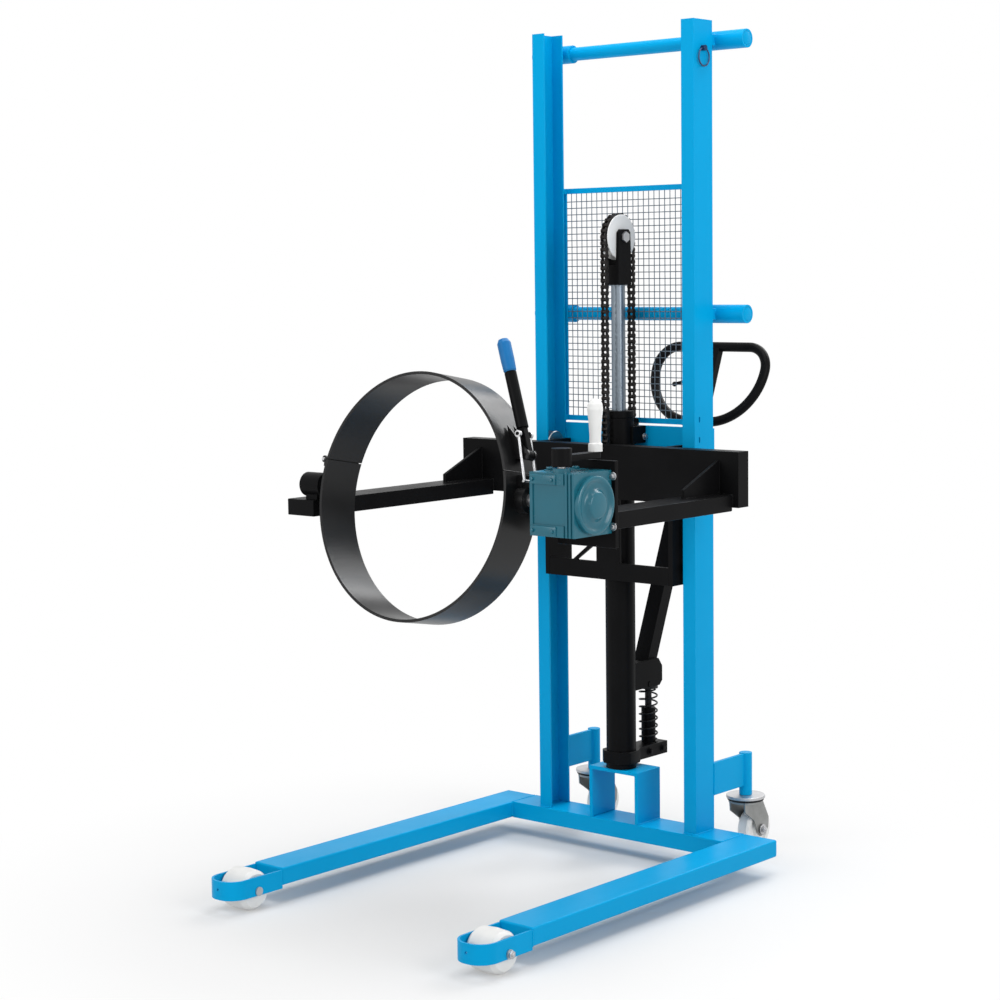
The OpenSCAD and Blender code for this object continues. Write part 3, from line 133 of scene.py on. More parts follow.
air_light, air_seen = 0.34, 1.0
world = bpy.data.worlds.new("studio_air")
bpy.context.scene.world = world
world.use_nodes = True
tree = world.node_tree
tree.nodes.clear()
path = tree.nodes.new("ShaderNodeLightPath")
looked_at = tree.nodes.new("ShaderNodeMath")
looked_at.operation = "MAXIMUM"
mirrored = tree.nodes.new("ShaderNodeMath")
mirrored.operation = "MAXIMUM"
level = tree.nodes.new("ShaderNodeMapRange")
level.inputs["To Min"].default_value = air_light
level.inputs["To Max"].default_value = air_seen
air = tree.nodes.new("ShaderNodeBackground")
air.inputs["Color"].default_value = (1, 1, 1, 1)
ends = tree.nodes.new("ShaderNodeOutputWorld")
tree.links.new(path.outputs["Is Camera Ray"], looked_at.inputs[0])
tree.links.new(path.outputs["Is Transmission Ray"], looked_at.inputs[1])
tree.links.new(looked_at.outputs["Value"], mirrored.inputs[0])
tree.links.new(path.outputs["Is Glossy Ray"], mirrored.inputs[1])
tree.links.new(mirrored.outputs["Value"], level.inputs["Value"])
tree.links.new(level.outputs["Result"], air.inputs["Strength"])
tree.links.new(air.outputs["Background"], ends.inputs["Surface"])


def softbox(name, place, aim, size, power):
    """A rectangular lamp of this size in metres and power in watts, turned to its aim."""
    lamp = bpy.data.lights.new(name, "AREA")
    lamp.shape = "RECTANGLE"
    lamp.size, lamp.size_y = size
    lamp.energy = power
    holder = bpy.data.objects.new(name, lamp)
    bpy.context.scene.collection.objects.link(holder)
    holder.location = place
    holder.rotation_euler = (Vector(aim) - Vector(place)).to_track_quat("-Z", "Y").to_euler()


softbox("key_softbox", place=(4.8, -0.9, 2.6), aim=(0, -0.3, 0.9), size=(2.4, 2.6), power=98)
softbox("front_softbox", place=(-1.0, -5.2, 2.2), aim=(0, -0.4, 0.9), size=(2.4, 2.0), power=74)
softbox("top_softbox", place=(0.2, -0.6, 4.6), aim=(0, -0.4, 0), size=(3.0, 3.0), power=112)
softbox("rear_softbox", place=(0.1, 3.4, 4.2), aim=(0, -0.75, 1.0), size=(3.6, 2.4), power=170)
softbox("strip_softbox", place=(3.75, -5.35, 2.6), aim=(0, 0, 1.2), size=(0.35, 2.2), power=24)


# Base: two rectangular tubes welded to a crossbar, powder coated sky blue.
# The tubes have rolled corners, and beads of weld run where they meet.
sharp_corner = math.radians(35)


def surface_group():
    """Slow blotches in tone and gloss, and a fine grain for the bump."""
    group = bpy.data.node_groups.new("worked_surface", "ShaderNodeTree")
    face = group.interface
    for name, kind, start in (
        ("Tone", "NodeSocketColor", (0.5, 0.5, 0.5, 1)),
        ("Shade", "NodeSocketColor", (0.4, 0.4, 0.4, 1)),
        ("Blotch size", "NodeSocketFloat", 9.0),
        ("Blotch amount", "NodeSocketFloat", 0.4),
        ("Grain size", "NodeSocketFloat", 600.0),
        ("Gloss", "NodeSocketFloat", 0.4),
        ("Gloss spread", "NodeSocketFloat", 0.1),
    ):
        socket = face.new_socket(name, in_out="INPUT", socket_type=kind)
        socket.default_value = start
    face.new_socket("Color", in_out="OUTPUT", socket_type="NodeSocketColor")
    face.new_socket("Roughness", in_out="OUTPUT", socket_type="NodeSocketFloat")
    face.new_socket("Height", in_out="OUTPUT", socket_type="NodeSocketFloat")
    nodes, links = group.nodes, group.links
    into = nodes.new("NodeGroupInput")
    out = nodes.new("NodeGroupOutput")
    place = nodes.new("ShaderNodeTexCoord")
    blotch = nodes.new("ShaderNodeTexNoise")
    blotch.inputs["Detail"].default_value = 6
    blotch.inputs["Roughness"].default_value = 0.6
    grain = nodes.new("ShaderNodeTexNoise")
    grain.inputs["Detail"].default_value = 2
    spread = nodes.new("ShaderNodeMapRange")
    spread.inputs["From Min"].default_value = 0.35
    spread.inputs["From Max"].default_value = 0.7
    amount = nodes.new("ShaderNodeMath")
    amount.operation = "MULTIPLY"
    mix = nodes.new("ShaderNodeMix")
    mix.data_type = "RGBA"
    gloss = nodes.new("ShaderNodeMath")
    gloss.operation = "MULTIPLY_ADD"
    links.new(place.outputs["Object"], blotch.inputs["Vector"])
    links.new(place.outputs["Object"], grain.inputs["Vector"])
    links.new(into.outputs["Blotch size"], blotch.inputs["Scale"])
    links.new(into.outputs["Grain size"], grain.inputs["Scale"])
    links.new(blotch.outputs["Fac"], spread.inputs["Value"])
    links.new(spread.outputs["Result"], amount.inputs[0])
    links.new(into.outputs["Blotch amount"], amount.inputs[1])
    links.new(amount.outputs["Value"], mix.inputs["Factor"])
    links.new(into.outputs["Tone"], mix.inputs["A"])
    links.new(into.outputs["Shade"], mix.inputs["B"])
    links.new(spread.outputs["Result"], gloss.inputs[0])
    links.new(into.outputs["Gloss spread"], gloss.inputs[1])
    links.new(into.outputs["Gloss"], gloss.inputs[2])
    links.new(mix.outputs["Result"], out.inputs["Color"])
    links.new(gloss.outputs["Value"], out.inputs["Roughness"])
    links.new(grain.outputs["Fac"], out.inputs["Height"])
    return group


worked_surface = surface_group()
bump_depth = 0.001


def finish(name, tone, shade, gloss, blotch, amount, grain, spread, bump, metal=0.0, mirror=0.5):
    """A material of one finish: the worked-surface group feeds its colour, gloss and bump."""
    mat = bpy.data.materials.new(name)
    mat.use_nodes = True
    nodes, links = mat.node_tree.nodes, mat.node_tree.links
    shader = nodes["Principled BSDF"]
    shader.inputs["Metallic"].default_value = metal
    shader.inputs["Specular IOR Level"].default_value = mirror
    worked = nodes.new("ShaderNodeGroup")
    worked.node_tree = worked_surface
    worked.inputs["Tone"].default_value = (*tone, 1)
    worked.inputs["Shade"].default_value = (*shade, 1)
    worked.inputs["Blotch size"].default_value = blotch
    worked.inputs["Blotch amount"].default_value = amount
    worked.inputs["Grain size"].default_value = grain
    worked.inputs["Gloss"].default_value = gloss
    worked.inputs["Gloss spread"].default_value = spread
    raised = nodes.new("ShaderNodeBump")
    raised.inputs["Strength"].default_value = bump
    raised.inputs["Distance"].default_value = bump_depth
    links.new(worked.outputs["Color"], shader.inputs["Base Color"])
    links.new(worked.outputs["Roughness"], shader.inputs["Roughness"])
    links.new(worked.outputs["Height"], raised.inputs["Height"])
    links.new(raised.outputs["Normal"], shader.inputs["Normal"])
    return mat


def coat(piece, mat):
    """The piece takes one finish all over."""
    piece.data.materials.clear()
    piece.data.materials.append(mat)


def dress(piece, mat, body):
    """A new piece takes its finish, and its place on a body of the lifter."""
    coat(piece, mat)
    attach(piece, body)


def select_only(*pieces):
    """These pieces are selected and nothing else, with the first one active."""
    bpy.ops.object.select_all(action="DESELECT")
    for piece in pieces:
        piece.select_set(True)
    bpy.context.view_layer.objects.active = pieces[0]


def merged_copy(node, name, flatten):
    """A CAD solid's mesh as a new piece, its triangles merged, and flat ones made one face."""
    piece = bpy.data.objects.new(name, frame["nodes"][node].data.copy())
    bpy.context.scene.collection.objects.link(piece)
    select_only(piece)
    bpy.ops.object.mode_set(mode="EDIT")
    bpy.ops.mesh.select_all(action="SELECT")
    bpy.ops.mesh.remove_doubles(threshold=0.00001)
    bpy.ops.mesh.customdata_custom_splitnormals_clear()
    if flatten:
        bpy.ops.mesh.dissolve_limited(angle_limit=math.radians(0.3))
    bpy.ops.object.mode_set(mode="OBJECT")
    return piece


def round_edges(piece, width, steps, corner=math.radians(30), miter="MITER_SHARP"):
    """Edges of the active piece that turn more than a corner angle are rounded."""
    soft = piece.modifiers.new("round", "BEVEL")
    soft.width = width
    soft.segments = steps
    soft.limit_method = "ANGLE"
    soft.angle_limit = corner
    soft.miter_outer = miter
    bpy.ops.object.modifier_apply(modifier="round")


def eased(node, mat, radius, steps=3):
    """A copy of a CAD solid with its sharp edges rolled or ground to a radius."""
    piece = merged_copy(node, node + "_eased", flatten=True)
    round_edges(piece, radius, steps, sharp_corner, "MITER_ARC")
    bpy.ops.object.shade_smooth_by_angle(angle=sharp_corner)
    even = piece.modifiers.new("even", "WEIGHTED_NORMAL")
    even.keep_sharp = True
    bpy.ops.object.modifier_apply(modifier="even")
    dress(piece, mat, frame["nodes"][node]["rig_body"])
    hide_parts(node)
    return piece


def weld_bead(name, runs, mat, body, radius=0.003):
    """Fillet welds along runs of points, rippled where the torch paused."""
    pause, thin = 0.004, 0.8
    shape = bpy.data.curves.new(name, "CURVE")
    shape.dimensions = "3D"
    shape.bevel_depth = radius
    shape.bevel_resolution = 1
    shape.use_fill_caps = True
    for run in runs:
        corners = [Vector(spot) for spot in run]
        spots = [corners[0]]
        for start, end in zip(corners, corners[1:]):
            steps = max(1, round((end - start).length / pause))
            spots += [start.lerp(end, step / steps) for step in range(1, steps + 1)]
        spline = shape.splines.new("POLY")
        spline.points.add(len(spots) - 1)
        for count, (point, spot) in enumerate(zip(spline.points, spots)):
            point.co = (*spot, 1)
            point.radius = 1.0 if count % 2 else thin
    bead = bpy.data.objects.new(name, shape)
    bpy.context.scene.collection.objects.link(bead)
    select_only(bead)
    bpy.ops.object.convert(target="MESH")
    bead = bpy.context.object
    bpy.ops.object.shade_smooth()
    dress(bead, mat, body)


sky_blue = finish(
    "sky_blue_powder_coat", tone=(0.0, 0.325, 0.64), shade=(0.0, 0.285, 0.575),
    gloss=0.32, mirror=0.06, blotch=5, amount=0.35, grain=900, spread=0.08, bump=0.06,
)
eased("base_crossbar", sky_blue, radius=0.004)
eased("base_legs", sky_blue, radius=0.005)
leg_low, leg_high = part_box("base_legs")
bar_low, bar_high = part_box("base_crossbar")
bead_short = 0.006
bead_top = leg_high.z - 0.001
bead_front = bar_low.y - 0.0005
weld_bead(
    "base_welds",
    [
        [
            (side * bar_high.x, bar_high.y - bead_short, bead_top),
            (side * bar_high.x, bead_front, bead_top),
            (side * bar_high.x, bead_front, bar_low.z + bead_short),
        ]
        for side in (-1, 1)
    ],
    sky_blue, "frame",
)

# Front rollers: cast nylon rollers on steel axles, each in a flat bar bent
# round the front of its leg and welded on, with a hex nut on its axle's end.
white_nylon = finish(
    "white_nylon", tone=(0.74, 0.74, 0.73), shade=(0.64, 0.65, 0.645),
    gloss=0.42, mirror=0.3, blotch=18, amount=0.3, grain=300, spread=0.12, bump=0.05,
)
zinc_plate = finish(
    "zinc_plate", tone=(0.50, 0.50, 0.51), shade=(0.38, 0.39, 0.40),
    gloss=0.32, metal=1.0, blotch=40, amount=0.5, grain=900, spread=0.2, bump=0.04,
)
straps = eased("roller_straps", sky_blue, radius=0.0012, steps=2)
strap_low, strap_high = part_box("roller_straps")
hole_r, hole_z, drill_length = 0.0035, 0.064, 0.03
for side_name in ("left", "right"):
    coat(frame["nodes"][side_name + "_front_roller"], white_nylon)
    roller_low, roller_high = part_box(side_name + "_front_roller")
    bpy.ops.object.select_all(action="DESELECT")
    bpy.ops.mesh.primitive_cylinder_add(
        vertices=24, radius=hole_r, depth=drill_length, rotation=(math.pi / 2, 0, 0),
        location=((roller_low.x + roller_high.x) / 2, strap_low.y, hole_z),
    )
    drill = bpy.context.object
    hole = straps.modifiers.new("small_hole", "BOOLEAN")
    hole.operation = "DIFFERENCE"
    hole.object = drill
    bpy.context.view_layer.objects.active = straps
    bpy.ops.object.modifier_apply(modifier="small_hole")
    bpy.data.objects.remove(drill)
coat(frame["nodes"]["roller_axles"], zinc_plate)


def joined(pieces, name):
    """Several meshes made one piece."""
    select_only(*pieces)
    if len(pieces) > 1:
        bpy.ops.object.join()
    piece = bpy.context.object
    piece.name = name
    return piece


def hex_bolt(across, height, washer, stub):
    """A bolt head or nut on its washer, standing on z = 0, with the bolt's end through it."""
    seat = 0.0016 if washer else 0.0
    bpy.ops.object.select_all(action="DESELECT")
    bpy.ops.mesh.primitive_cylinder_add(
        vertices=6, radius=across / math.sqrt(3), depth=height, location=(0, 0, height / 2 + seat)
    )
    layers = [bpy.context.object]
    round_edges(layers[0], across * 0.06, steps=2)
    rounds = []
    if washer:
        rounds.append((across * 0.92, 0.0, seat, 0.0004))
    if stub:
        rounds.append((across * 0.3, seat + height * 0.5, seat + height + stub, 0.0008))
    for radius, bottom, top, edge in rounds:
        bpy.ops.mesh.primitive_cylinder_add(
            vertices=24, radius=radius, depth=top - bottom, location=(0, 0, (bottom + top) / 2)
        )
        layers.append(bpy.context.object)
        round_edges(layers[-1], edge, steps=1)
    bolt = joined(layers, "hex_bolt")
    bpy.ops.object.transform_apply(location=True, rotation=True, scale=True)
    bpy.ops.object.shade_smooth_by_angle(angle=math.radians(30))
    return bolt


def bolt_set(name, spots, across, height, mat, body, washer=True, stub=0.0):
    """The same bolt at several spots, each given as a place and the way its head points."""
    first = hex_bolt(across, height, washer, stub)
    copies = []
    for place, way in spots:
        copy = first.copy()
        copy.data = first.data.copy()
        bpy.context.scene.collection.objects.link(copy)
        turn = Vector(way).to_track_quat("Z", "Y").to_matrix().to_4x4()
        copy.data.transform(Matrix.Translation(place) @ turn)
        copies.append(copy)
    bpy.data.objects.remove(first)
    dress(joined(copies, name), mat, body)


axle_low, axle_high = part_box("roller_axles")
axle_y = (axle_low.y + axle_high.y) / 2
axle_z = (axle_low.z + axle_high.z) / 2
bolt_set(
    "roller_axle_nuts",
    [((axle_low.x, axle_y, axle_z), (-1, 0, 0)), ((axle_high.x, axle_y, axle_z), (1, 0, 0))],
    across=0.017, height=0.007, stub=0.003, washer=False,
    mat=zinc_plate, body="frame",
)
strap_bead_in = 0.001
strap_bead_from, strap_bead_to = strap_low.z + 0.008, strap_high.z - 0.002
weld_bead(
    "strap_welds",
    [
        [(x, leg_low.y, strap_bead_from), (x, leg_low.y, strap_bead_to)]
        for x in (strap_low.x + strap_bead_in, strap_high.x - strap_bead_in)
    ],
    sky_blue, "frame",
)

# Mast: two steel channels stand on the crossbar and open towards each other,
# tied at the top and in the middle by round bars in welded, plugged sleeves.
eased("mast_posts", sky_blue, radius=0.003)
eased("tie_bars", sky_blue, radius=0.0015, steps=2)
eased("bar_sleeves", sky_blue, radius=0.0026)
eased("back_plate", sky_blue, radius=0.001, steps=2)
sleeve_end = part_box("bar_sleeves")[1].x
tie_low, tie_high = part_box("tie_bars")
tie_r, plug_slack, plug_edge = 0.0174, 0.0002, 0.0008
plugs = []
for z in (tie_low.z + tie_r, tie_high.z - tie_r):
    for side in (-1, 1):
        bpy.ops.object.select_all(action="DESELECT")
        bpy.ops.mesh.primitive_cylinder_add(
            vertices=48, radius=tie_r - plug_slack, depth=sleeve_end - tie_high.x,
            rotation=(0, math.pi / 2, 0),
            location=(side * (sleeve_end + tie_high.x) / 2, (tie_low.y + tie_high.y) / 2, z),
        )
        plugs.append(bpy.context.object)
end_plugs = joined(plugs, "bar_end_plugs")
bpy.ops.object.transform_apply(location=True, rotation=True, scale=True)
round_edges(end_plugs, plug_edge, steps=2)
bpy.ops.object.shade_smooth_by_angle(angle=sharp_corner)
dress(end_plugs, sky_blue, "frame")
dark_zinc = finish(
    "dark_zinc", tone=(0.05, 0.08, 0.16), shade=(0.03, 0.04, 0.08),
    gloss=0.35, metal=0.9, blotch=60, amount=0.5, grain=900, spread=0.15, bump=0.04,
)
coat(frame["nodes"]["lock_pin"], dark_zinc)
coat(frame["nodes"]["lock_ring"], dark_zinc)
post_low, post_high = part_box("mast_posts")
post_inner_x = 0.221
weld_bead(
    "post_foot_welds",
    [
        [
            (side * post_inner_x, post_low.y, post_low.z),
            (side * post_high.x, post_low.y, post_low.z),
            (side * post_high.x, post_high.y, post_low.z),
            (side * post_inner_x, post_high.y, post_low.z),
        ]
        for side in (-1, 1)
    ],
    sky_blue, "frame",
)

# Guard: galvanised welded mesh in a strip frame between the posts, behind the
# chain, so that no hand reaches in from the operator's side.
eased("guard_frame", sky_blue, radius=0.0008, steps=2)
mesh_wire = finish(
    "mesh_wire", tone=(0.11, 0.15, 0.19), shade=(0.07, 0.10, 0.13),
    gloss=0.4, metal=0.5, blotch=30, amount=0.4, grain=800, spread=0.15, bump=0.03,
)
coat(frame["nodes"]["guard_mesh"], mesh_wire)

# Outriggers and casters: deep plates welded behind the posts with a round stem
# each, on swivel casters with a pressed plate and fork, a rubber dust ring and
# a nylon wheel on a bolt.
eased("outriggers", sky_blue, radius=0.0015)
black_rubber = finish(
    "black_rubber", tone=(0.008, 0.008, 0.009), shade=(0.016, 0.016, 0.016),
    gloss=0.55, mirror=0.2, blotch=30, amount=0.5, grain=700, spread=0.1, bump=0.1,
)
pressed_zinc = finish(
    "pressed_zinc", tone=(0.30, 0.305, 0.30), shade=(0.21, 0.215, 0.21),
    gloss=0.42, metal=0.9, blotch=22, amount=0.6, grain=700, spread=0.15, bump=0.05,
)
eased("caster_plates", zinc_plate, radius=0.0012, steps=2)
eased("dust_rings", black_rubber, radius=0.002)
outrigger_low, outrigger_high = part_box("outriggers")
plate_thick = 0.010
seam_from, seam_to = outrigger_low.z + 0.027, outrigger_high.z - 0.004
weld_bead(
    "outrigger_welds",
    [
        [(side * x, post_high.y, seam_from), (side * x, post_high.y, seam_to)]
        for side in (-1, 1) for x in (post_high.x - plate_thick, post_high.x)
    ],
    sky_blue, "frame",
)


def spot_on(node, start, way):
    """Where a line from start first meets a CAD node, and the way back: a spot for a bolt."""
    mesh = frame["nodes"][node].data
    corners = [vertex.co for vertex in mesh.vertices]
    faces = BVHTree.FromPolygons(corners, [face.vertices for face in mesh.polygons])
    return faces.ray_cast(Vector(start), Vector(way))[0], tuple(-share for share in way)


beside_fork = 0.2
for side_name in ("left", "right"):
    fork = side_name + "_caster_fork"
    wheel_low, wheel_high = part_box(side_name + "_caster_wheel")
    hub = (wheel_low + wheel_high) / 2
    eased(fork, pressed_zinc, radius=0.0012, steps=2)
    coat(frame["nodes"][side_name + "_caster_wheel"], white_nylon)
    bolt_set(
        side_name + "_caster_axle_nuts",
        [
            spot_on(fork, hub + Vector((side * beside_fork, 0, 0)), (-side, 0, 0))
            for side in (-1, 1)
        ],
        across=0.015, height=0.007, stub=0.003,
        mat=zinc_plate, body=side_name + "_caster",
    )

# Pump: a bent plate bridge on the crossbar carries the cast pump block with
# its plunger and return spring; the lift cylinder stands on the same block.
eased("pump_bridge", sky_blue, radius=0.002)
bridge_low, bridge_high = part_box("pump_bridge")
bridge_bead_short = 0.004
bridge_bead_ys = (bridge_low.y + bridge_bead_short, bridge_high.y - bridge_bead_short)
weld_bead(
    "bridge_welds",
    [
        [(side * bridge_high.x, y, bridge_low.z) for y in bridge_bead_ys]
        for side in (-1, 1)
    ],
    sky_blue, "frame",
)
satin_black = finish(
    "satin_black_paint", tone=(0.0035, 0.0035, 0.0038), shade=(0.006, 0.006, 0.0065),
    gloss=0.34, mirror=0.05, blotch=7, amount=0.6, grain=800, spread=0.12, bump=0.06,
)
eased("pump_block", satin_black, radius=0.003)
eased("lift_cylinder", satin_black, radius=0.001, steps=2)
eased("cylinder_gland", satin_black, radius=0.002)
eased("chain_anchor", satin_black, radius=0.0015, steps=2)
eased("handle_bracket", satin_black, radius=0.0015, steps=2)
spring_black = finish(
    "black_spring_steel", tone=(0.008, 0.008, 0.009), shade=(0.016, 0.016, 0.016),
    gloss=0.38, metal=0.2, mirror=0.25, blotch=40, amount=0.5, grain=700, spread=0.12, bump=0.05,
)


def drawn_between(node, mat):
    """A copy of a spring or chain run, made smooth, given its finish and baked where its CAD
    solid stood.
    """
    piece = merged_copy(node, node + "_drawn", flatten=False)
    bpy.ops.object.shade_smooth_by_angle(angle=sharp_corner)
    coat(piece, mat)
    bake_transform(piece)
    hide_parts(node)


drawn_between("pump_spring", spring_black)
coat(frame["nodes"]["pump_plunger"], spring_black)
beside_pump = 0.2
valve_plug_ys, valve_plug_z = (0.072, 0.128), 0.258
bolt_set(
    "pump_valve_plugs",
    [spot_on("pump_block", (beside_pump, y, valve_plug_z), (-1, 0, 0)) for y in valve_plug_ys],
    across=0.012, height=0.004, mat=satin_black, body="frame",
)
anchor_bolt_y, anchor_bolt_z = 0.035, 1.100
bolt_set(
    "chain_anchor_bolt",
    [spot_on("chain_anchor", (beside_pump, anchor_bolt_y, anchor_bolt_z), (-1, 0, 0))],
    across=0.010, height=0.006, mat=zinc_plate, body="frame",
)

# Lift: a hard-chromed rod pushes up a fork with a nylon sheave, and a roller
# chain runs over it from the anchor behind to the carriage in front.
chrome_rod = finish(
    "hard_chrome", tone=(0.20, 0.235, 0.27), shade=(0.16, 0.19, 0.22),
    gloss=0.30, metal=1.0, blotch=12, amount=0.3, grain=900, spread=0.06, bump=0.01,
)
chain_steel = finish(
    "oiled_chain_steel", tone=(0.030, 0.027, 0.026), shade=(0.012, 0.011, 0.010),
    gloss=0.34, metal=0.85, blotch=70, amount=0.7, grain=900, spread=0.2, bump=0.05,
)
coat(frame["nodes"]["piston_rod"], chrome_rod)
eased("sheave_fork", satin_black, radius=0.001, steps=2)
coat(frame["nodes"]["sheave_axle"], zinc_plate)
coat(frame["nodes"]["chain_sheave"], white_nylon)
coat(frame["nodes"]["chain_wrap"], chain_steel)
drawn_between("chain_front", chain_steel)
drawn_between("chain_rear", chain_steel)

# Carriage: a welded black frame that runs in the posts on steel rollers, with
# a wide beam, two flat arms with webs, a lower bar and a brace.
for node, radius in (
    ("carriage_beam", 0.002), ("side_plates", 0.0015), ("lower_bar", 0.0015),
    ("left_arm", 0.003), ("right_arm", 0.003), ("gearbox_plate", 0.0015),
):
    eased(node, satin_black, radius, steps=2)
roller_steel = finish(
    "ground_roller_steel", tone=(0.36, 0.37, 0.38), shade=(0.25, 0.25, 0.26),
    gloss=0.3, metal=1.0, blotch=40, amount=0.5, grain=900, spread=0.15, bump=0.04,
)
coat(frame["nodes"]["upper_rollers"], roller_steel)
coat(frame["nodes"]["lower_rollers"], roller_steel)
beam_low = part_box("carriage_beam")[0]
left_low, left_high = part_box("left_arm")
bearing_in = 0.007
arm_out, arm_in = -left_low.x, -left_high.x + bearing_in
arm_middle = (arm_in + arm_out) / 2
arm_bottom, arm_top = beam_low.z + 0.001, left_low.z + 0.040
web_half, web_top = 0.005, left_high.z - 0.004
web_from, web_to = beam_low.y - 0.004, beam_low.y - 0.142
weld_bead(
    "arm_welds",
    [
        [
            (side * edge, beam_low.y, arm_bottom),
            (side * edge, beam_low.y, arm_top),
            (side * (arm_middle + way * web_half), beam_low.y, arm_top),
            (side * (arm_middle + way * web_half), beam_low.y, web_top),
        ]
        for side in (-1, 1) for edge, way in ((arm_in, -1), (arm_out, 1))
    ]
    + [
        [(side * (arm_middle + way * web_half), y, arm_top) for y in (web_from, web_to)]
        for side in (-1, 1) for way in (-1, 1)
    ],
    satin_black, "carriage", radius=0.0025,
)

# Tilt drive: a painted iron worm gearbox bolted to the right arm's plate, with
# a dished cover, a crank on the worm shaft and a turned nylon grip.
teal_iron = finish(
    "teal_cast_iron", tone=(0.009, 0.116, 0.165), shade=(0.007, 0.088, 0.126),
    gloss=0.22, mirror=0.40, blotch=14, amount=0.5, grain=260, spread=0.08, bump=0.12,
)
eased("gearbox_housing", teal_iron, radius=0.0025)
cover_low, cover_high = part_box("gearbox_cover")
cover_middle = (cover_low + cover_high) / 2
cover_r = (cover_high.z - cover_low.z) / 2
cover_deep = cover_high.x - cover_low.x
rim_deep = cover_deep * 0.55
cast_round = math.radians(50)
dish_steps = (
    (0.03, 0.08), (0.05, 0.03), (0.05, -0.04), (0.06, -0.26), (0.08, -0.06),
    (0.12, 0.02), (0.06, 0.10), (0.08, 0.40), (0.03, 0.14), (0.04, 0.04),
)
shaft_bore_r, shaft_bore_deep = 0.016, 0.011
bpy.ops.object.select_all(action="DESELECT")
bpy.ops.mesh.primitive_cylinder_add(
    vertices=96, radius=cover_r, depth=rim_deep, rotation=(0, math.pi / 2, 0),
    location=(cover_low.x + rim_deep / 2, cover_middle.y, cover_middle.z),
)
cover = bpy.context.object
cover.name = "gearbox_cover_cast"
bpy.ops.object.transform_apply(location=True, rotation=True, scale=True)
outer_face = max(cover.data.polygons, key=lambda face: face.center.x).index
bpy.ops.object.mode_set(mode="EDIT")
bpy.ops.mesh.select_mode(type="FACE")
bpy.ops.mesh.select_all(action="DESELECT")
bpy.ops.object.mode_set(mode="OBJECT")
cover.data.polygons[outer_face].select = True
bpy.ops.object.mode_set(mode="EDIT")
for in_share, out_share in dish_steps:
    bpy.ops.mesh.inset(thickness=in_share * cover_r, depth=out_share * cover_deep)
bpy.ops.mesh.select_all(action="DESELECT")
bpy.ops.object.mode_set(mode="OBJECT")
min(cover.data.polygons, key=lambda face: face.center.x).select = True
bpy.ops.object.mode_set(mode="EDIT")
bpy.ops.mesh.inset(thickness=cover_r - shaft_bore_r)
bpy.ops.mesh.extrude_region_move(TRANSFORM_OT_translate={"value": (shaft_bore_deep, 0, 0)})
bpy.ops.object.mode_set(mode="OBJECT")
bpy.ops.object.shade_smooth_by_angle(angle=cast_round)
dress(cover, teal_iron, "carriage")
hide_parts("gearbox_cover")
band_face, band_deep, band_high, band_edge = -0.8245, 0.005, 0.022, 0.0022
band_from, band_to = 0.3745, 0.4475
band_zs = (0.9595, 1.0735)
bands = []
for z in band_zs:
    bpy.ops.object.select_all(action="DESELECT")
    bpy.ops.mesh.primitive_cube_add(
        size=1, location=((band_from + band_to) / 2, band_face + band_deep / 2, z),
        scale=(band_to - band_from, band_deep, band_high),
    )
    band = bpy.context.object
    bpy.ops.object.transform_apply(location=True, rotation=True, scale=True)
    round_edges(band, band_edge, steps=3)
    bpy.ops.object.shade_smooth_by_angle(angle=cast_round)
    bands.append(band)
dress(joined(bands, "gearbox_face_bands"), teal_iron, "carriage")
bronze = finish(
    "worm_wheel_bronze", tone=(0.50, 0.31, 0.12), shade=(0.36, 0.22, 0.09),
    gloss=0.35, metal=1.0, blotch=30, amount=0.5, grain=700, spread=0.15, bump=0.05,
)
coat(frame["nodes"]["worm_wheel"], bronze)
coat(frame["nodes"]["worm_shaft"], roller_steel)
eased("crank_arm", satin_black, radius=0.0015, steps=2)
coat(frame["nodes"]["crank_grip"], white_nylon)
face_screw_xs = (0.3815, 0.4375)
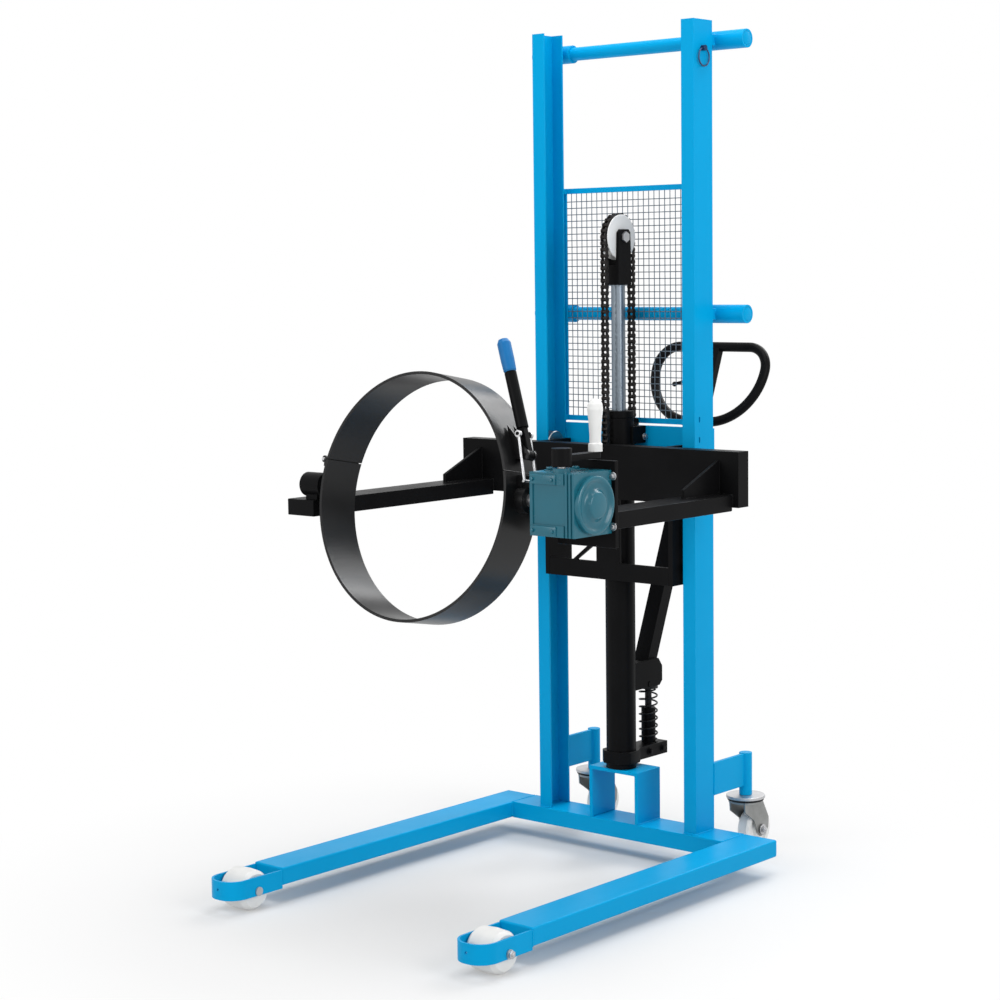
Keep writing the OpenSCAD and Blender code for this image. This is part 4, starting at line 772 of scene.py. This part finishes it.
bolt_set(
    "gearbox_face_screws",
    [((x, band_face, z), (0, -1, 0)) for x in face_screw_xs for z in band_zs],
    across=0.008, height=0.004, washer=False,
    mat=teal_iron, body="carriage",
)
above_gearbox = 1.3
top_plug_spots = ((0.392, -0.775), (0.424, -0.722))
bolt_set(
    "gearbox_top_plugs",
    [spot_on("gearbox_housing", (x, y, above_gearbox), (0, 0, -1)) for x, y in top_plug_spots],
    across=0.014, height=0.006, mat=teal_iron, body="carriage",
)
before_plate = -1.2
plate_bolt_xs, plate_bolt_zs = (0.503, 0.352), (0.962, 1.075)
bolt_set(
    "gearbox_plate_bolts",
    [
        spot_on("gearbox_plate", (x, before_plate, z), (0, 1, 0))
        for x in plate_bolt_xs for z in plate_bolt_zs
    ],
    across=0.010, height=0.006, mat=zinc_plate, body="carriage",
)

# Hoop: a rolled black band in two halves, hinged on the left and closed on
# the right by a toggle latch with a steel bail and a blue vinyl grip.
rolled_black = finish(
    "rolled_band_black", tone=(0.0035, 0.0035, 0.0038), shade=(0.006, 0.006, 0.0065),
    gloss=0.30, mirror=0.28, blotch=7, amount=0.6, grain=800, spread=0.04, bump=0.03,
)
for node in ("hoop_lower", "hoop_upper"):
    eased(node, rolled_black, radius=0.0012, steps=2)
coat(frame["nodes"]["hoop_trunnions"], roller_steel)
coat(frame["nodes"]["hinge_pin"], zinc_plate)
eased("latch_lever", satin_black, radius=0.0015, steps=2)
eased("latch_bail", zinc_plate, radius=0.0008, steps=2)
blue_vinyl = finish(
    "blue_vinyl", tone=(0.006, 0.135, 0.36), shade=(0.004, 0.105, 0.29),
    gloss=0.40, mirror=0.2, blotch=25, amount=0.4, grain=500, spread=0.1, bump=0.08,
)
coat(frame["nodes"]["lever_grip"], blue_vinyl)

# Pump handle: a square tube on a yoke at the pump, with a round steering loop
# and a small release lever beside its stem, all painted black.
for node, radius in (("handle_tube", 0.0025), ("handle_loop", 0.002), ("control_lever", 0.001)):
    eased(node, satin_black, radius, steps=2)
